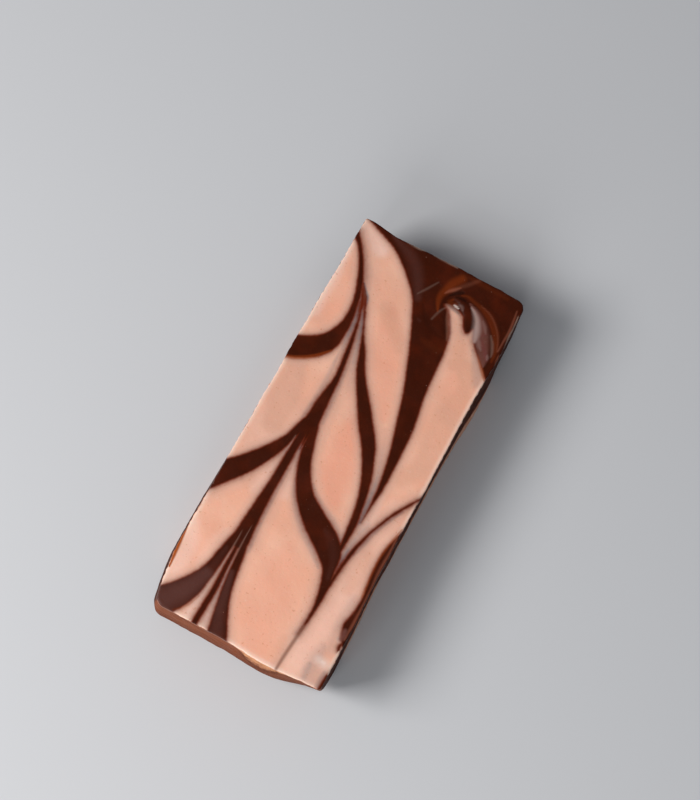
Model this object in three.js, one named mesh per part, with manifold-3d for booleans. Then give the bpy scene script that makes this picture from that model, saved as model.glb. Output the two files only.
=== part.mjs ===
// A hand-cut slice of chocolate fudge, lying flat with its marbled top face up.
//
// The slice is a loaf's cross-cut: its two long sides are knife cuts, and its two ends are the
// loaf's own outer faces, which round under to the flat underside. Three layers run through its
// width: a pink base layer, a thick chocolate body and a thin marbled topping.
//
// Millimetres. +Y runs along the slice, +Z is up, and the origin is the middle of the underside.

import * as THREE from 'three';
import { mergeVertices } from 'three/addons/utils/BufferGeometryUtils.js';
import Module from 'manifold-3d';

const wasm = await Module();
wasm.setup();

// The slice's driving dimensions.
const THICKNESS = 25;
const TOP_LENGTH = 139;
const TOP_WIDTH = 58;
const TOPPING_THICKNESS = 1.6;
const BASE_LAYER_THICKNESS = 7;
const LAYER_GAP = 0.3;

// The top face's corners. The far left one was left sharp by the knife.
const CORNER_RADIUS = { nearRight: 1, farRight: 3.2, farLeft: 0.6, nearLeft: 2.6 };

// The left side spreads out towards the underside, most of all at the near end and soon below the
// top face. The right side leans in evenly, except at its middle.
const LEFT_SPREAD = 1.2;
const LEFT_SPREAD_NEAR_END = 2.7;
const LEFT_SPREAD_POWER = 3;
const RIGHT_INSET = 1.1;

// The ends round under, as ellipses that are wider than they are high. The near end leans out a
// little, but in at its right corner, and the far end leans in.
const NEAR_END_LEAN = THREE.MathUtils.degToRad(-1.5);
const NEAR_END_EXTRA_LEAN = THREE.MathUtils.degToRad(9);
const FAR_END_LEAN = THREE.MathUtils.degToRad(6);
const END_ROUND = { near: 10, far: 14, height: 7 };

// The base layer stops short of both ends in a rounded nose.
const BASE_LAYER = { nearNose: -55, farNose: 49, noseLength: 9, swell: 0.5 };

// How finely the curved faces are divided.
const EDGE_STEP = 3.4;
const CORNER_STEPS = 5;
const ROUND_STEPS = 7;
const WALL_STEPS = 2;

const HALF_WIDTH = TOP_WIDTH / 2;
const HALF_LENGTH = TOP_LENGTH / 2;
const TOPPING_UNDERSIDE = THICKNESS - TOPPING_THICKNESS;

const { lerp, smoothstep } = THREE.MathUtils;

/** A smooth swelling of height 1 at `centre`, gone a few `width`s away. */
const swelling = (t, centre, width) => Math.exp(-(((t - centre) / width) ** 2));

// The top face's four edges as the knife and the loaf left them. Each is a straight line with a
// few shallow swellings.
const leftEdge = (y) =>
  -HALF_WIDTH + 0.8 + 0.5 * smoothstep(y, 20, 70) + 3 * (Math.max(0, -46 - y) / 23) ** 2;
const rightEdge = (y) =>
  HALF_WIDTH + 1.1 + (1 - smoothstep(y, -58, -26))
  + 0.35 * swelling(y, 47, 7) - 0.25 * swelling(y, 28, 12);
const nearEdge = (x) =>
  -HALF_LENGTH + 0.4 - 0.7 * smoothstep(x, -5, 7) + 0.75 * smoothstep(x, 13, 24);
const farEdge = (x) =>
  HALF_LENGTH - 0.7 + 1.2 * (1 - smoothstep(x, -27, -17)) + 0.35 * swelling(x, 1, 8)
  - 0.4 * smoothstep(x, 15, 27);

/** How far the left side has spread out at height z. */
function leftSpread(y, z) {
  const atFoot = lerp(LEFT_SPREAD_NEAR_END, LEFT_SPREAD, smoothstep(y, -30, -8));
  return atFoot * (1 - (z / THICKNESS) ** LEFT_SPREAD_POWER);
}

/** How far the right side leans in at height z. */
function rightInset(y, z) {
  const atFoot = RIGHT_INSET * (1 - 0.9 * swelling(y, 38, 16));
  return atFoot * (1 - z / THICKNESS);
}

/** How far an end stands in at height z: its lean, and the ellipse that rounds it under. */
function endInset(z, lean, roundLength) {
  const below = Math.max(0, 1 - z / END_ROUND.height);
  return Math.tan(lean) * (THICKNESS - z) + roundLength * (1 - Math.sqrt(1 - below * below));
}

/** Moves a point of the plain rounded rectangle to its place on the slice's outline at height z. */
function slicePoint(x, y, z) {
  const across = (x + HALF_WIDTH) / TOP_WIDTH;
  const along = (y + HALF_LENGTH) / TOP_LENGTH;
  const left = leftEdge(y) - leftSpread(y, z);
  const right = rightEdge(y) - rightInset(y, z);
  const nearLean = NEAR_END_LEAN + NEAR_END_EXTRA_LEAN * smoothstep(x, 10, 31);
  const near = nearEdge(x) + endInset(z, nearLean, END_ROUND.near);
  const far = farEdge(x) - endInset(z, FAR_END_LEAN, END_ROUND.far);
  return new THREE.Vector3(lerp(left, right, across), lerp(near, far, along), z);
}

/** The points of the plain rounded rectangle, anticlockwise from the near right corner. */
function roundedRectangle() {
  const corners = [
    { x: 1, y: -1, radius: CORNER_RADIUS.nearRight },
    { x: 1, y: 1, radius: CORNER_RADIUS.farRight },
    { x: -1, y: 1, radius: CORNER_RADIUS.farLeft },
    { x: -1, y: -1, radius: CORNER_RADIUS.nearLeft },
  ];
  const arcs = corners.map(({ x, y, radius }, corner) => {
    const centre = new THREE.Vector2(x * (HALF_WIDTH - radius), y * (HALF_LENGTH - radius));
    const startAngle = (corner - 1) * Math.PI / 2;
    return Array.from({ length: CORNER_STEPS + 1 }, (_, step) => {
      const angle = startAngle + (step / CORNER_STEPS) * Math.PI / 2;
      return new THREE.Vector2(Math.cos(angle), Math.sin(angle)).multiplyScalar(radius).add(centre);
    });
  });
  return arcs.flatMap((arc, corner) => {
    const from = arc.at(-1);
    const to = arcs[(corner + 1) % arcs.length][0];
    const steps = Math.round(from.distanceTo(to) / EDGE_STEP);
    const edge = Array.from({ length: steps - 1 }, (_, step) => from.clone().lerp(to, (step + 1) / steps));
    return [...arc, ...edge];
  });
}

/** A closed body from the slice's outline at each height, with a flat face at each end. */
function stack(heights) {
  const outline = roundedRectangle();
  const count = outline.length;
  const points = [];
  for (const z of heights) {
    for (const { x, y } of outline) points.push(slicePoint(x, y, z));
  }
  const indices = [];
  for (let level = 0; level < heights.length - 1; level += 1) {
    for (let i = 0; i < count; i += 1) {
      const a = level * count + i;
      const b = level * count + (i + 1) % count;
      indices.push(a, b, b + count, a, b + count, a + count);
    }
  }
  const bottomCentre = points.length;
  points.push(new THREE.Vector3(0, 0, heights[0]));
  const topCentre = points.length;
  points.push(new THREE.Vector3(0, 0, heights.at(-1)));
  const topStart = (heights.length - 1) * count;
  for (let i = 0; i < count; i += 1) {
    const next = (i + 1) % count;
    indices.push(bottomCentre, next, i);
    indices.push(topCentre, topStart + i, topStart + next);
  }
  const geometry = new THREE.BufferGeometry().setFromPoints(points);
  geometry.setIndex(indices);
  return geometry;
}

/** The heights of the body's outlines: close together where the ends round under. */
function bodyHeights(top) {
  const rounded = Array.from({ length: ROUND_STEPS + 1 }, (_, step) =>
    END_ROUND.height * (1 - Math.cos((step / ROUND_STEPS) * Math.PI / 2)));
  const wall = Array.from({ length: WALL_STEPS }, (_, step) =>
    lerp(END_ROUND.height, top, (step + 1) / WALL_STEPS));
  return [...rounded, ...wall];
}

/**
 * The space of the base layer, wider than the slice: its top runs level with a slight swell and
 * drops to the underside in a quarter of an ellipse at each end. `grown` moves it out all round.
 */
function baseLayerSpace(grown) {
  const noseLength = BASE_LAYER.noseLength + grown;
  const height = BASE_LAYER_THICKNESS + grown;
  const nearCentre = BASE_LAYER.nearNose + BASE_LAYER.noseLength;
  const farCentre = BASE_LAYER.farNose - BASE_LAYER.noseLength;
  const belowUnderside = -2;
  const noseSteps = 8;
  const levelSteps = 12;
  const side = new THREE.Shape();
  side.moveTo(nearCentre - noseLength, belowUnderside);
  side.lineTo(farCentre + noseLength, belowUnderside);
  for (let step = 0; step <= noseSteps; step += 1) {
    const angle = (step / noseSteps) * Math.PI / 2;
    side.lineTo(farCentre + noseLength * Math.cos(angle), height * Math.sin(angle));
  }
  for (let step = 1; step < levelSteps; step += 1) {
    const t = step / levelSteps;
    side.lineTo(lerp(farCentre, nearCentre, t), height + BASE_LAYER.swell * Math.sin(2 * Math.PI * t));
  }
  for (let step = noseSteps; step >= 0; step -= 1) {
    const angle = (step / noseSteps) * Math.PI / 2;
    side.lineTo(nearCentre - noseLength * Math.cos(angle), height * Math.sin(angle));
  }
  const pastTheSides = 4 * HALF_WIDTH;
  const space = new THREE.ExtrudeGeometry(side, { depth: pastTheSides, bevelEnabled: false });
  space.translate(0, 0, -pastTheSides / 2);
  const [x, y, z] = [[1, 0, 0], [0, 1, 0], [0, 0, 1]].map((axis) => new THREE.Vector3(...axis));
  return space.applyMatrix4(new THREE.Matrix4().makeBasis(y, z, x));
}

/** A closed geometry as a solid that can be cut. */
function toSolid(geometry) {
  const plain = geometry.clone();
  plain.deleteAttribute('normal');
  plain.deleteAttribute('uv');
  const merged = mergeVertices(plain);
  return new wasm.Manifold(new wasm.Mesh({
    numProp: 3,
    vertProperties: merged.attributes.position.array,
    triVerts: new Uint32Array(merged.index.array),
  }));
}

/** A cut solid as a geometry again. */
function toGeometry(solid) {
  const { vertProperties, triVerts } = solid.getMesh();
  const geometry = new THREE.BufferGeometry();
  geometry.setAttribute('position', new THREE.BufferAttribute(vertProperties, 3));
  geometry.setIndex(new THREE.BufferAttribute(triVerts, 1));
  geometry.computeVertexNormals();
  return geometry;
}

/** One layer of the slice as a named mesh. */
function layer(name, geometry, color, roughness) {
  const mesh = new THREE.Mesh(geometry, new THREE.MeshStandardMaterial({ color, roughness }));
  mesh.name = name;
  return mesh;
}

const underTopping = toSolid(stack(bodyHeights(TOPPING_UNDERSIDE)));
const body = toGeometry(underTopping.subtract(toSolid(baseLayerSpace(LAYER_GAP))));
const baseLayer = toGeometry(underTopping.intersect(toSolid(baseLayerSpace(0))));
const topping = stack([TOPPING_UNDERSIDE, THICKNESS]);
topping.computeVertexNormals();

const fudge = new THREE.Group();
fudge.name = 'chocolate_fudge';
fudge.add(
  layer('marbled_topping', topping, 0xe6b49a, 0.42),
  layer('chocolate_body', body, 0x4a2014, 0.6),
  layer('pink_base_layer', baseLayer, 0xd9986f, 0.65),
);

export default fudge;
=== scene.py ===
"""The looks of a hand-cut slice of chocolate fudge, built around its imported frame.

The slice lies flat with its marbled face up. Lengths are in millimetres in the part's own frame:
+Y runs along the slice towards its far end, +X to the right and +Z up, and the origin is the
middle of the underside. Meshes are written in metres.
"""

import logging
import math
from dataclasses import KW_ONLY, dataclass, field
from enum import Enum

import bpy
import numpy as np
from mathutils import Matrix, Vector


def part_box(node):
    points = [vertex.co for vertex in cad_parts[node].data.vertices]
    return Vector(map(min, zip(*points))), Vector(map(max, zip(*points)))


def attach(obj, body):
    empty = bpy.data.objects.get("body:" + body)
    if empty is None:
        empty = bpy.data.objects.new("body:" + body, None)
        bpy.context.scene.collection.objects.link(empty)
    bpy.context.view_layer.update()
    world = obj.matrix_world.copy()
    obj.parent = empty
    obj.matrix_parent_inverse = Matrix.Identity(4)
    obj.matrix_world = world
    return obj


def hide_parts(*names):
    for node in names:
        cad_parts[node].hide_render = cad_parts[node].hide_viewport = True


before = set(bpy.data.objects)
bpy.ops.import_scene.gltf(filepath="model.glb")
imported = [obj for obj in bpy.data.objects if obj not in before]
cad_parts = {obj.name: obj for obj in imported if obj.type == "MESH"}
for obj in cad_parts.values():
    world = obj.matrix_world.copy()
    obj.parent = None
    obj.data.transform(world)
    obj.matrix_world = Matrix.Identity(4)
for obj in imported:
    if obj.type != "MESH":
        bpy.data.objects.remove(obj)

Array = np.ndarray
Socket = bpy.types.NodeSocket
Colour = tuple[int, int, int]
Path = tuple[tuple[float, float, float], ...]

MM = 0.001
log = logging.getLogger("fudge")


# ---------------------------------------------------------------------------------------------
# Curves and unevenness
# ---------------------------------------------------------------------------------------------


def lerp(start: Array | float, stop: Array | float, part: Array | float) -> Array:
    """Straight blend from `start` at part 0 to `stop` at part 1."""
    return start + (stop - start) * part


def smoothstep(value: Array | float, start: float, stop: float) -> Array:
    """Eases from 0 at `start` to 1 at `stop`: 3t² - 2t³ of the clipped part t."""
    part = np.clip((value - start) / (stop - start), 0.0, 1.0)
    return part * part * (3.0 - 2.0 * part)


def swelling(value: Array | float, centre: float, width: float) -> Array:
    """A smooth swelling of height 1 at `centre`: exp(-((value - centre) / width)²)."""
    return np.exp(-(((value - centre) / width) ** 2))


def graded(start: float, stop: float, step: float, fine: tuple[float, ...]) -> Array:
    """Places along a line, `fine` distances in from both ends and every `step` between.

    Args:
        start: Where the line starts.
        stop: Where the line stops.
        step: Distance between places away from the ends.
        fine: Distances from each end that get a place of their own, from the end inwards.

    Returns:
        The places in rising order.
    """
    inner = np.linspace(start + fine[-1], stop - fine[-1], round((stop - start - 2 * fine[-1]) / step) + 1)
    head = start + np.array((0.0, *fine[:-1]))
    tail = stop - np.array((0.0, *fine[:-1]))
    return np.concatenate([head, inner, tail[::-1]])


@dataclass(frozen=True)
class Waves:
    """Random unevenness in two directions: a sum of sine waves in random directions.

    Attributes:
        seed: Seed of the random draws.
        shortest: Shortest wave length.
        longest: Longest wave length.
        stretch: How many times longer the waves are in the second direction.
        count: Number of waves.
    """

    seed: int
    shortest: float
    longest: float
    stretch: float = 1.0
    count: int = 28

    def height(self, first: Array, second: Array) -> Array:
        """Height of the waves, mostly between -1 and 1.

        Wave lengths are spread evenly on a log scale, headings evenly round the circle, and each
        wave is as high as its length to the power 0.6.

        Args:
            first: Places in the first direction.
            second: Places in the second direction.

        Returns:
            One height for each place.
        """
        draw = np.random.default_rng(self.seed)
        length = self.shortest * (self.longest / self.shortest) ** draw.random(self.count)
        heading = draw.random(self.count) * 2 * math.pi
        phase = draw.random(self.count) * 2 * math.pi
        size = length**0.6
        size /= math.sqrt(np.sum(size**2))
        turns = 2 * math.pi / length
        total = np.zeros(np.broadcast(first, second).shape)
        for turn, angle, shift, high in zip(turns, heading, phase, size):
            across = first * math.cos(angle) + second * math.sin(angle) / self.stretch
            total += high * np.sin(turn * across + shift)
        return total


@dataclass(frozen=True)
class Pits:
    """Small round dents scattered at random over a face.

    Attributes:
        seed: Seed of the random draws.
        count: Number of dents.
        low: Lowest corner of the face.
        high: Highest corner of the face.
        radius: Smallest and largest radius.
        depth: Depth of the deepest dent.
    """

    seed: int
    count: int
    low: tuple[float, float]
    high: tuple[float, float]
    radius: tuple[float, float]
    depth: float

    def height(self, first: Array, second: Array) -> Array:
        """Height of the dents, never above 0: each is a bell curve, deep for its random share.

        Args:
            first: Places in the first direction.
            second: Places in the second direction.

        Returns:
            One height for each place.
        """
        draw = np.random.default_rng(self.seed)
        centres = draw.uniform(self.low, self.high, (self.count, 2))
        radii = draw.uniform(*self.radius, self.count)
        depths = self.depth * draw.uniform(0.25, 1.0, self.count)
        total = np.zeros(first.shape)
        for (centre_first, centre_second), radius, depth in zip(centres, radii, depths):
            away = ((first - centre_first) ** 2 + (second - centre_second) ** 2) / radius**2
            total -= depth * np.exp(-away)
        return total


# ---------------------------------------------------------------------------------------------
# The slice's outer surface
# ---------------------------------------------------------------------------------------------


@dataclass(frozen=True)
class Stray:
    """How far an edge strays from its straight line, to the right or to the far end.

    Attributes:
        shift: How far all along.
        steps: (amount, start, stop) of each step, which eases in from start to stop.
        swellings: (amount, centre, width) of each swelling.
    """

    shift: float
    steps: tuple[tuple[float, float, float], ...] = ()
    swellings: tuple[tuple[float, float, float], ...] = ()

    def at(self, place: Array) -> Array:
        """How far at places along the edge: the shift, the steps and the swellings together."""
        total = self.shift
        for amount, start, stop in self.steps:
            total = total + amount * smoothstep(place, start, stop)
        for amount, centre, width in self.swellings:
            total = total + amount * swelling(place, centre, width)
        return total


@dataclass(frozen=True)
class Outline:
    """The slice's outer surface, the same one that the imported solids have.

    A point of the slice is first named by its place in a plain box, with x from -half_width to
    half_width, y from -half_length to half_length and z its real height. The outline moves such a
    point to its real place.

    Attributes:
        thickness: Height of the marbled face.
        half_width: Half the width of the plain box.
        half_length: Half the length of the plain box.
        corner_radii: Radii of the near right, far right, far left and near left corners.
        left_edge: How the marbled face's left edge strays.
        left_swing: How it also swings in near the near end: (amount, start, length) of a parabola.
        right_edge: How its right edge strays.
        near_edge: How its near edge strays.
        far_edge: How its far edge strays.
        left_spread: How far the left side spreads out at its foot, at most places and at the
            near end.
        spread_power: How soon below the marbled face it spreads out.
        left_spread_change: Where it goes over from the second to the first.
        right_inset: How far the right side leans in at its foot.
        right_upright: (share, centre, width) of the stretch where it leans in less.
        near_lean: Lean of the near end on the left, and how much more it leans in on the right.
        near_lean_change: Where it goes over from the one to the other.
        far_lean: Lean of the far end.
        near_round: Length of the ellipse that rounds the near end under.
        far_round: Length of the ellipse that rounds the far end under.
        round_height: Height of both ellipses.
        top_arris: Radius of the edge round the marbled face.
        bottom_arris: Radius of the long edges at the foot.
    """

    thickness: float
    half_width: float = 29.0
    half_length: float = 69.5
    corner_radii: tuple[float, float, float, float] = (1.0, 3.2, 0.6, 2.6)
    left_edge: Stray = Stray(0.8, steps=((0.5, 20, 70),))
    left_swing: tuple[float, float, float] = (3.0, -46.0, 23.0)
    right_edge: Stray = Stray(1.1, steps=((1, -26, -58),), swellings=((0.35, 47, 7), (-0.25, 28, 12)))
    near_edge: Stray = Stray(0.4, steps=((-0.7, -5, 7), (0.75, 13, 24)))
    far_edge: Stray = Stray(-0.7, steps=((1.2, -17, -27), (-0.4, 15, 27)), swellings=((0.35, 1, 8),))
    left_spread: tuple[float, float] = (1.2, 2.7)
    left_spread_change: tuple[float, float] = (-30.0, -8.0)
    spread_power: int = 3
    right_inset: float = 1.1
    right_upright: tuple[float, float, float] = (0.9, 38.0, 16.0)
    near_lean: tuple[float, float] = (math.radians(-1.5), math.radians(9))
    near_lean_change: tuple[float, float] = (10.0, 31.0)
    far_lean: float = math.radians(6)
    near_round: float = 10.0
    far_round: float = 14.0
    round_height: float = 7.0
    top_arris: float = 0.4
    bottom_arris: float = 0.6

    def left(self, y: Array, z: Array) -> Array:
        """Real x of the left side: its top edge, spread out by 1 - (z / thickness)³ of the most."""
        amount, start, length = self.left_swing
        edge = -self.half_width + self.left_edge.at(y) + amount * (np.maximum(0, start - y) / length) ** 2
        foot = lerp(self.left_spread[1], self.left_spread[0], smoothstep(y, *self.left_spread_change))
        return edge - foot * (1 - (z / self.thickness) ** self.spread_power)

    def right(self, y: Array, z: Array) -> Array:
        """Real x of the right side: its top edge, set in in proportion to the depth."""
        share, centre, width = self.right_upright
        foot = self.right_inset * (1 - share * swelling(y, centre, width))
        return self.half_width + self.right_edge.at(y) - foot * (1 - z / self.thickness)

    def end_inset(self, z: Array, lean: Array, round_length: float) -> Array:
        """How far an end stands in: its lean, and the quarter ellipse that rounds it under."""
        below = np.maximum(0, 1 - z / self.round_height)
        return np.tan(lean) * (self.thickness - z) + round_length * (1 - np.sqrt(1 - below**2))

    def near(self, x: Array, z: Array) -> Array:
        """Real y of the near end: its top edge, set in by the lean and the rounding."""
        lean = self.near_lean[0] + self.near_lean[1] * smoothstep(x, *self.near_lean_change)
        return -self.half_length + self.near_edge.at(x) + self.end_inset(z, lean, self.near_round)

    def far(self, x: Array, z: Array) -> Array:
        """Real y of the far end: its top edge, set in by the lean and the rounding."""
        return self.half_length + self.far_edge.at(x) - self.end_inset(z, self.far_lean, self.far_round)

    def plain_y(self, x: Array, y: Array, z: Array) -> Array:
        """The plain box's y of a real y: its part of the way between the ends."""
        near = self.near(x, z)
        part = (y - near) / (self.far(x, z) - near)
        return self.half_length * (2 * part - 1)

    def edge_distance(self, x: Array, y: Array) -> Array:
        """Distance in plan from the slice's outline, inwards."""
        return np.minimum(self.half_width - np.abs(x), self.half_length - np.abs(y))

    def round_corners(self, x: Array, y: Array) -> tuple[Array, Array]:
        """Turns the plain box's square corners into round ones.

        In the square of a corner's radius, a point at (a, b) from the arc's centre moves along
        its ray to max(a, b), so that the square's outside becomes the arc.

        Args:
            x: Places across the plain box.
            y: Places along the plain box.

        Returns:
            The moved x and y.
        """
        signs = ((1, -1), (1, 1), (-1, 1), (-1, -1))
        for (side, end), radius in zip(signs, self.corner_radii):
            a = np.maximum((side * x - self.half_width) / radius + 1, 0)
            b = np.maximum((end * y - self.half_length) / radius + 1, 0)
            inside = (a > 0) & (b > 0)
            scale = np.where(inside, np.maximum(a, b) / np.maximum(np.hypot(a, b), 1e-9), 1.0)
            x = np.where(inside, side * (self.half_width + radius * (a * scale - 1)), x)
            y = np.where(inside, end * (self.half_length + radius * (b * scale - 1)), y)
        return x, y

    @staticmethod
    def soften(inwards: Array, below: Array, radius: float) -> tuple[Array, Array]:
        """Rounds an edge where two faces meet.

        Args:
            inwards: Distance from the first face.
            below: Distance from the second face.
            radius: Radius of the rounding.

        Returns:
            How much further both distances become: a point that is (p, q) of a radius outside
            the arc's centre moves along its ray to max(p, q).
        """
        p = np.clip(1 - inwards / radius, 0, 1)
        q = np.clip(1 - below / radius, 0, 1)
        shrink = 1 - np.maximum(p, q) / np.maximum(np.hypot(p, q), 1e-9)
        return radius * p * shrink, radius * q * shrink

    def place(self, x: Array, y: Array, z: Array) -> Array:
        """Moves points of the plain box to their real places.

        The edge round the marbled face and the long edges at the foot are softened, the corners
        are rounded, and then x goes to its part of the way between the sides and y to its part of
        the way between the ends.

        Args:
            x: Places across the plain box.
            y: Places along the plain box.
            z: Heights.

        Returns:
            An array of real points, one row each.
        """
        inset, drop = self.soften(self.edge_distance(x, y), self.thickness - z, self.top_arris)
        foot_inset, lift = self.soften(self.half_width - np.abs(x), z, self.bottom_arris)
        corner_x, corner_y = self.round_corners(x, y)
        corner_x = corner_x * (1 - (inset + foot_inset) / self.half_width)
        corner_y = corner_y * (1 - inset / self.half_length)
        height = z - drop + lift
        across = (corner_x + self.half_width) / (2 * self.half_width)
        along = (corner_y + self.half_length) / (2 * self.half_length)
        real_x = lerp(self.left(corner_y, height), self.right(corner_y, height), across)
        real_y = lerp(self.near(corner_x, height), self.far(corner_x, height), along)
        return np.stack([real_x, real_y, height], axis=-1)


@dataclass(frozen=True)
class BaseProfile:
    """The top of the base layer seen from the side: level, with a rounded nose at each end.

    Attributes:
        near_nose: Real y where the near nose meets the underside.
        far_nose: Real y where the far nose meets the underside.
        nose_length: Length of each nose.
        height: Height of the level part.
        swell: How far the level part rises and falls.
        nose_points: Points along each nose.
        level_points: Points along the level part, with the two that it shares with the noses.
    """

    near_nose: float = -55.0
    far_nose: float = 49.0
    nose_length: float = 9.0
    height: float = 7.0
    swell: float = 0.5
    nose_points: int = 40
    level_points: int = 120

    def path(self) -> Array:
        """The profile from the near nose to the far one.

        Each nose is a quarter ellipse. Between them the height is height + swell times the sine
        of one full turn, counted from the far nose.

        Returns:
            Rows of (y, z).
        """
        turn = np.linspace(0, math.pi / 2, self.nose_points)
        near_centre = self.near_nose + self.nose_length
        far_centre = self.far_nose - self.nose_length
        near = np.stack([near_centre - self.nose_length * np.cos(turn), self.height * np.sin(turn)], axis=-1)
        part = np.linspace(0, 1, self.level_points)[1:-1]
        level = np.stack([
            lerp(near_centre, far_centre, part),
            self.height + self.swell * np.sin(2 * math.pi * (1 - part)),
        ], axis=-1)
        far = np.stack([far_centre + self.nose_length * np.cos(turn), self.height * np.sin(turn)], axis=-1)
        return np.concatenate([near, level, far[::-1]])

    def at(self, part: Array) -> tuple[Array, Array]:
        """The y and z that lie `part` of the profile's length along it."""
        path = self.path()
        length = np.concatenate([[0], np.cumsum(np.hypot(*np.diff(path, axis=0).T))])
        return (np.interp(part * length[-1], length, path[:, 0]),
                np.interp(part * length[-1], length, path[:, 1]))


@dataclass(frozen=True)
class Surface:
    """The unevenness of the cut sides, the ends and the marbled face.

    Attributes:
        outline: The slice's outer surface.
        wander: Slow waviness of the cut sides.
        drag: Drag marks of the knife, which run down the cut sides.
        crumble: Crumbly texture near the marbled face's edge.
        pits: Dents in the left side.
        right_pits: Dents in the right side.
        end_waves: Soft streaks along the ends.
        face_waves: Slow waviness of the marbled face.
        wander_height: How far the slow waviness of the sides stands out.
        drag_height: The same for the drag marks.
        crumble_height: The same for the crumbly texture.
        end_height: The same for the soft streaks.
        face_height: The same for the face's waviness, which lies below the face by as much.
        side_reach: How far in from an outer wall its unevenness dies out.
        top_reach: How far down from the marbled face its unevenness dies out.
    """

    outline: Outline
    wander: Waves = Waves(seed=11, shortest=9.0, longest=30.0)
    drag: Waves = Waves(seed=12, shortest=1.3, longest=5.0, stretch=7.0)
    crumble: Waves = Waves(seed=13, shortest=1.1, longest=3.0)
    pits: Pits = Pits(seed=14, count=90, low=(-67, 1), high=(67, 22), radius=(0.4, 0.9), depth=0.45)
    right_pits: Pits = Pits(seed=15, count=90, low=(-67, 1), high=(67, 22), radius=(0.4, 0.9), depth=0.45)
    end_waves: Waves = Waves(seed=16, shortest=2.5, longest=12.0, stretch=0.35)
    face_waves: Waves = Waves(seed=17, shortest=9.0, longest=34.0)
    wander_height: float = 0.08
    drag_height: float = 0.035
    crumble_height: float = 0.1
    end_height: float = 0.07
    face_height: float = 0.1
    side_reach: float = 1.2
    top_reach: float = 1.4

    def side(self, x: Array, y: Array, z: Array) -> Array:
        """How far a cut side stands out at a place, in millimetres.

        Args:
            x: Places across the plain box: only the sign counts.
            y: Places along the plain box.
            z: Heights.

        Returns:
            The slow waves, the drag marks and the dents together, and near the marbled face the
            crumbly texture.
        """
        shift = np.where(x > 0, 211.0, 0.0)
        depth = self.outline.thickness - z
        crumbly = smoothstep(depth, 3.2, 1.2) * smoothstep(depth, 0.0, 0.5)
        dents = np.where(x > 0, self.right_pits.height(y, z), self.pits.height(y, z))
        return (self.wander_height * self.wander.height(y + shift, z)
                + self.drag_height * self.drag.height(y + shift, z)
                + self.crumble_height * crumbly * self.crumble.height(y + shift, z)
                + dents * smoothstep(depth, 1.0, 3.0))

    def end(self, x: Array, y: Array, z: Array) -> Array:
        """How far an end stands out at a place, by the soft streaks along it."""
        shift = np.where(y > 0, 173.0, 0.0)
        return self.end_height * self.end_waves.height(x + shift, z)

    def place(self, x: Array, y: Array, z: Array, face: Array | float = 0.0) -> Array:
        """Moves points of the plain box to their real, uneven places.

        Args:
            x: Places across the plain box.
            y: Places along the plain box.
            z: Heights.
            face: How far the marbled face stands up at each point besides its waviness.

        Returns:
            An array of real points, one row each.
        """
        outline = self.outline
        points = outline.place(x, y, z)
        at_side = smoothstep(outline.half_width - np.abs(x), self.side_reach, 0.0)
        at_end = smoothstep(outline.half_length - np.abs(y), self.side_reach, 0.0)
        at_top = smoothstep(outline.thickness - z, self.top_reach, 0.0)
        off_floor = smoothstep(z, 0.0, 1.0)
        points[..., 0] += np.sign(x) * at_side * self.side(x, y, z)
        points[..., 1] += np.sign(y) * at_end * off_floor * self.end(x, y, z)
        points[..., 2] += at_top * (self.face_height * (self.face_waves.height(x, y) - 1) + face)
        return points


# ---------------------------------------------------------------------------------------------
# Sewing grids into closed meshes
# ---------------------------------------------------------------------------------------------


class Sewing:
    """Grids of points that are sewn into one closed mesh.

    Two points at the same place in the plain box become one, and triangles that shrink to a line
    are left out.
    """

    def __init__(self) -> None:
        """Starts with nothing sewn."""
        self.points: list[Array] = []
        self.triangles: list[Array] = []
        self.count = 0

    def _keep(self, points: Array, triangles: Array) -> None:
        """Keeps points, and triangles that count from the first of them."""
        self.points.append(points)
        self.triangles.append(triangles + self.count)
        self.count += len(points)

    def grid(self, x: Array, y: Array, z: Array) -> None:
        """Adds a grid. Its outside is where first direction × second direction points."""
        x, y, z = np.broadcast_arrays(x, y, z)
        rows, columns = x.shape
        index = np.arange(rows * columns).reshape(rows, columns)
        a, b = index[:-1, :-1].ravel(), index[1:, :-1].ravel()
        c, d = index[1:, 1:].ravel(), index[:-1, 1:].ravel()
        triangles = np.concatenate([np.stack([a, b, c], axis=-1), np.stack([a, c, d], axis=-1)])
        self._keep(np.stack([x, y, z], axis=-1).reshape(-1, 3), triangles)

    def fan(self, loop: Array, centre: tuple[float, float, float]) -> None:
        """Adds a face of triangles from a closed loop of points to one centre."""
        count = len(loop)
        ring = np.arange(count)
        triangles = np.stack([ring, np.roll(ring, -1), np.full(count, count)], axis=-1)
        self._keep(np.vstack([loop, centre]), triangles)

    def sewn(self) -> tuple[Array, Array]:
        """Merges points at one place.

        Returns:
            The points, and the triangles as rows of three point numbers.
        """
        points = np.concatenate(self.points)
        triangles = np.concatenate(self.triangles)
        _, first, which = np.unique(np.round(points, 5), axis=0, return_index=True, return_inverse=True)
        triangles = which.reshape(-1)[triangles]
        a, b, c = triangles.T
        whole = (a != b) & (b != c) & (c != a)
        return points[first], triangles[whole]


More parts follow.
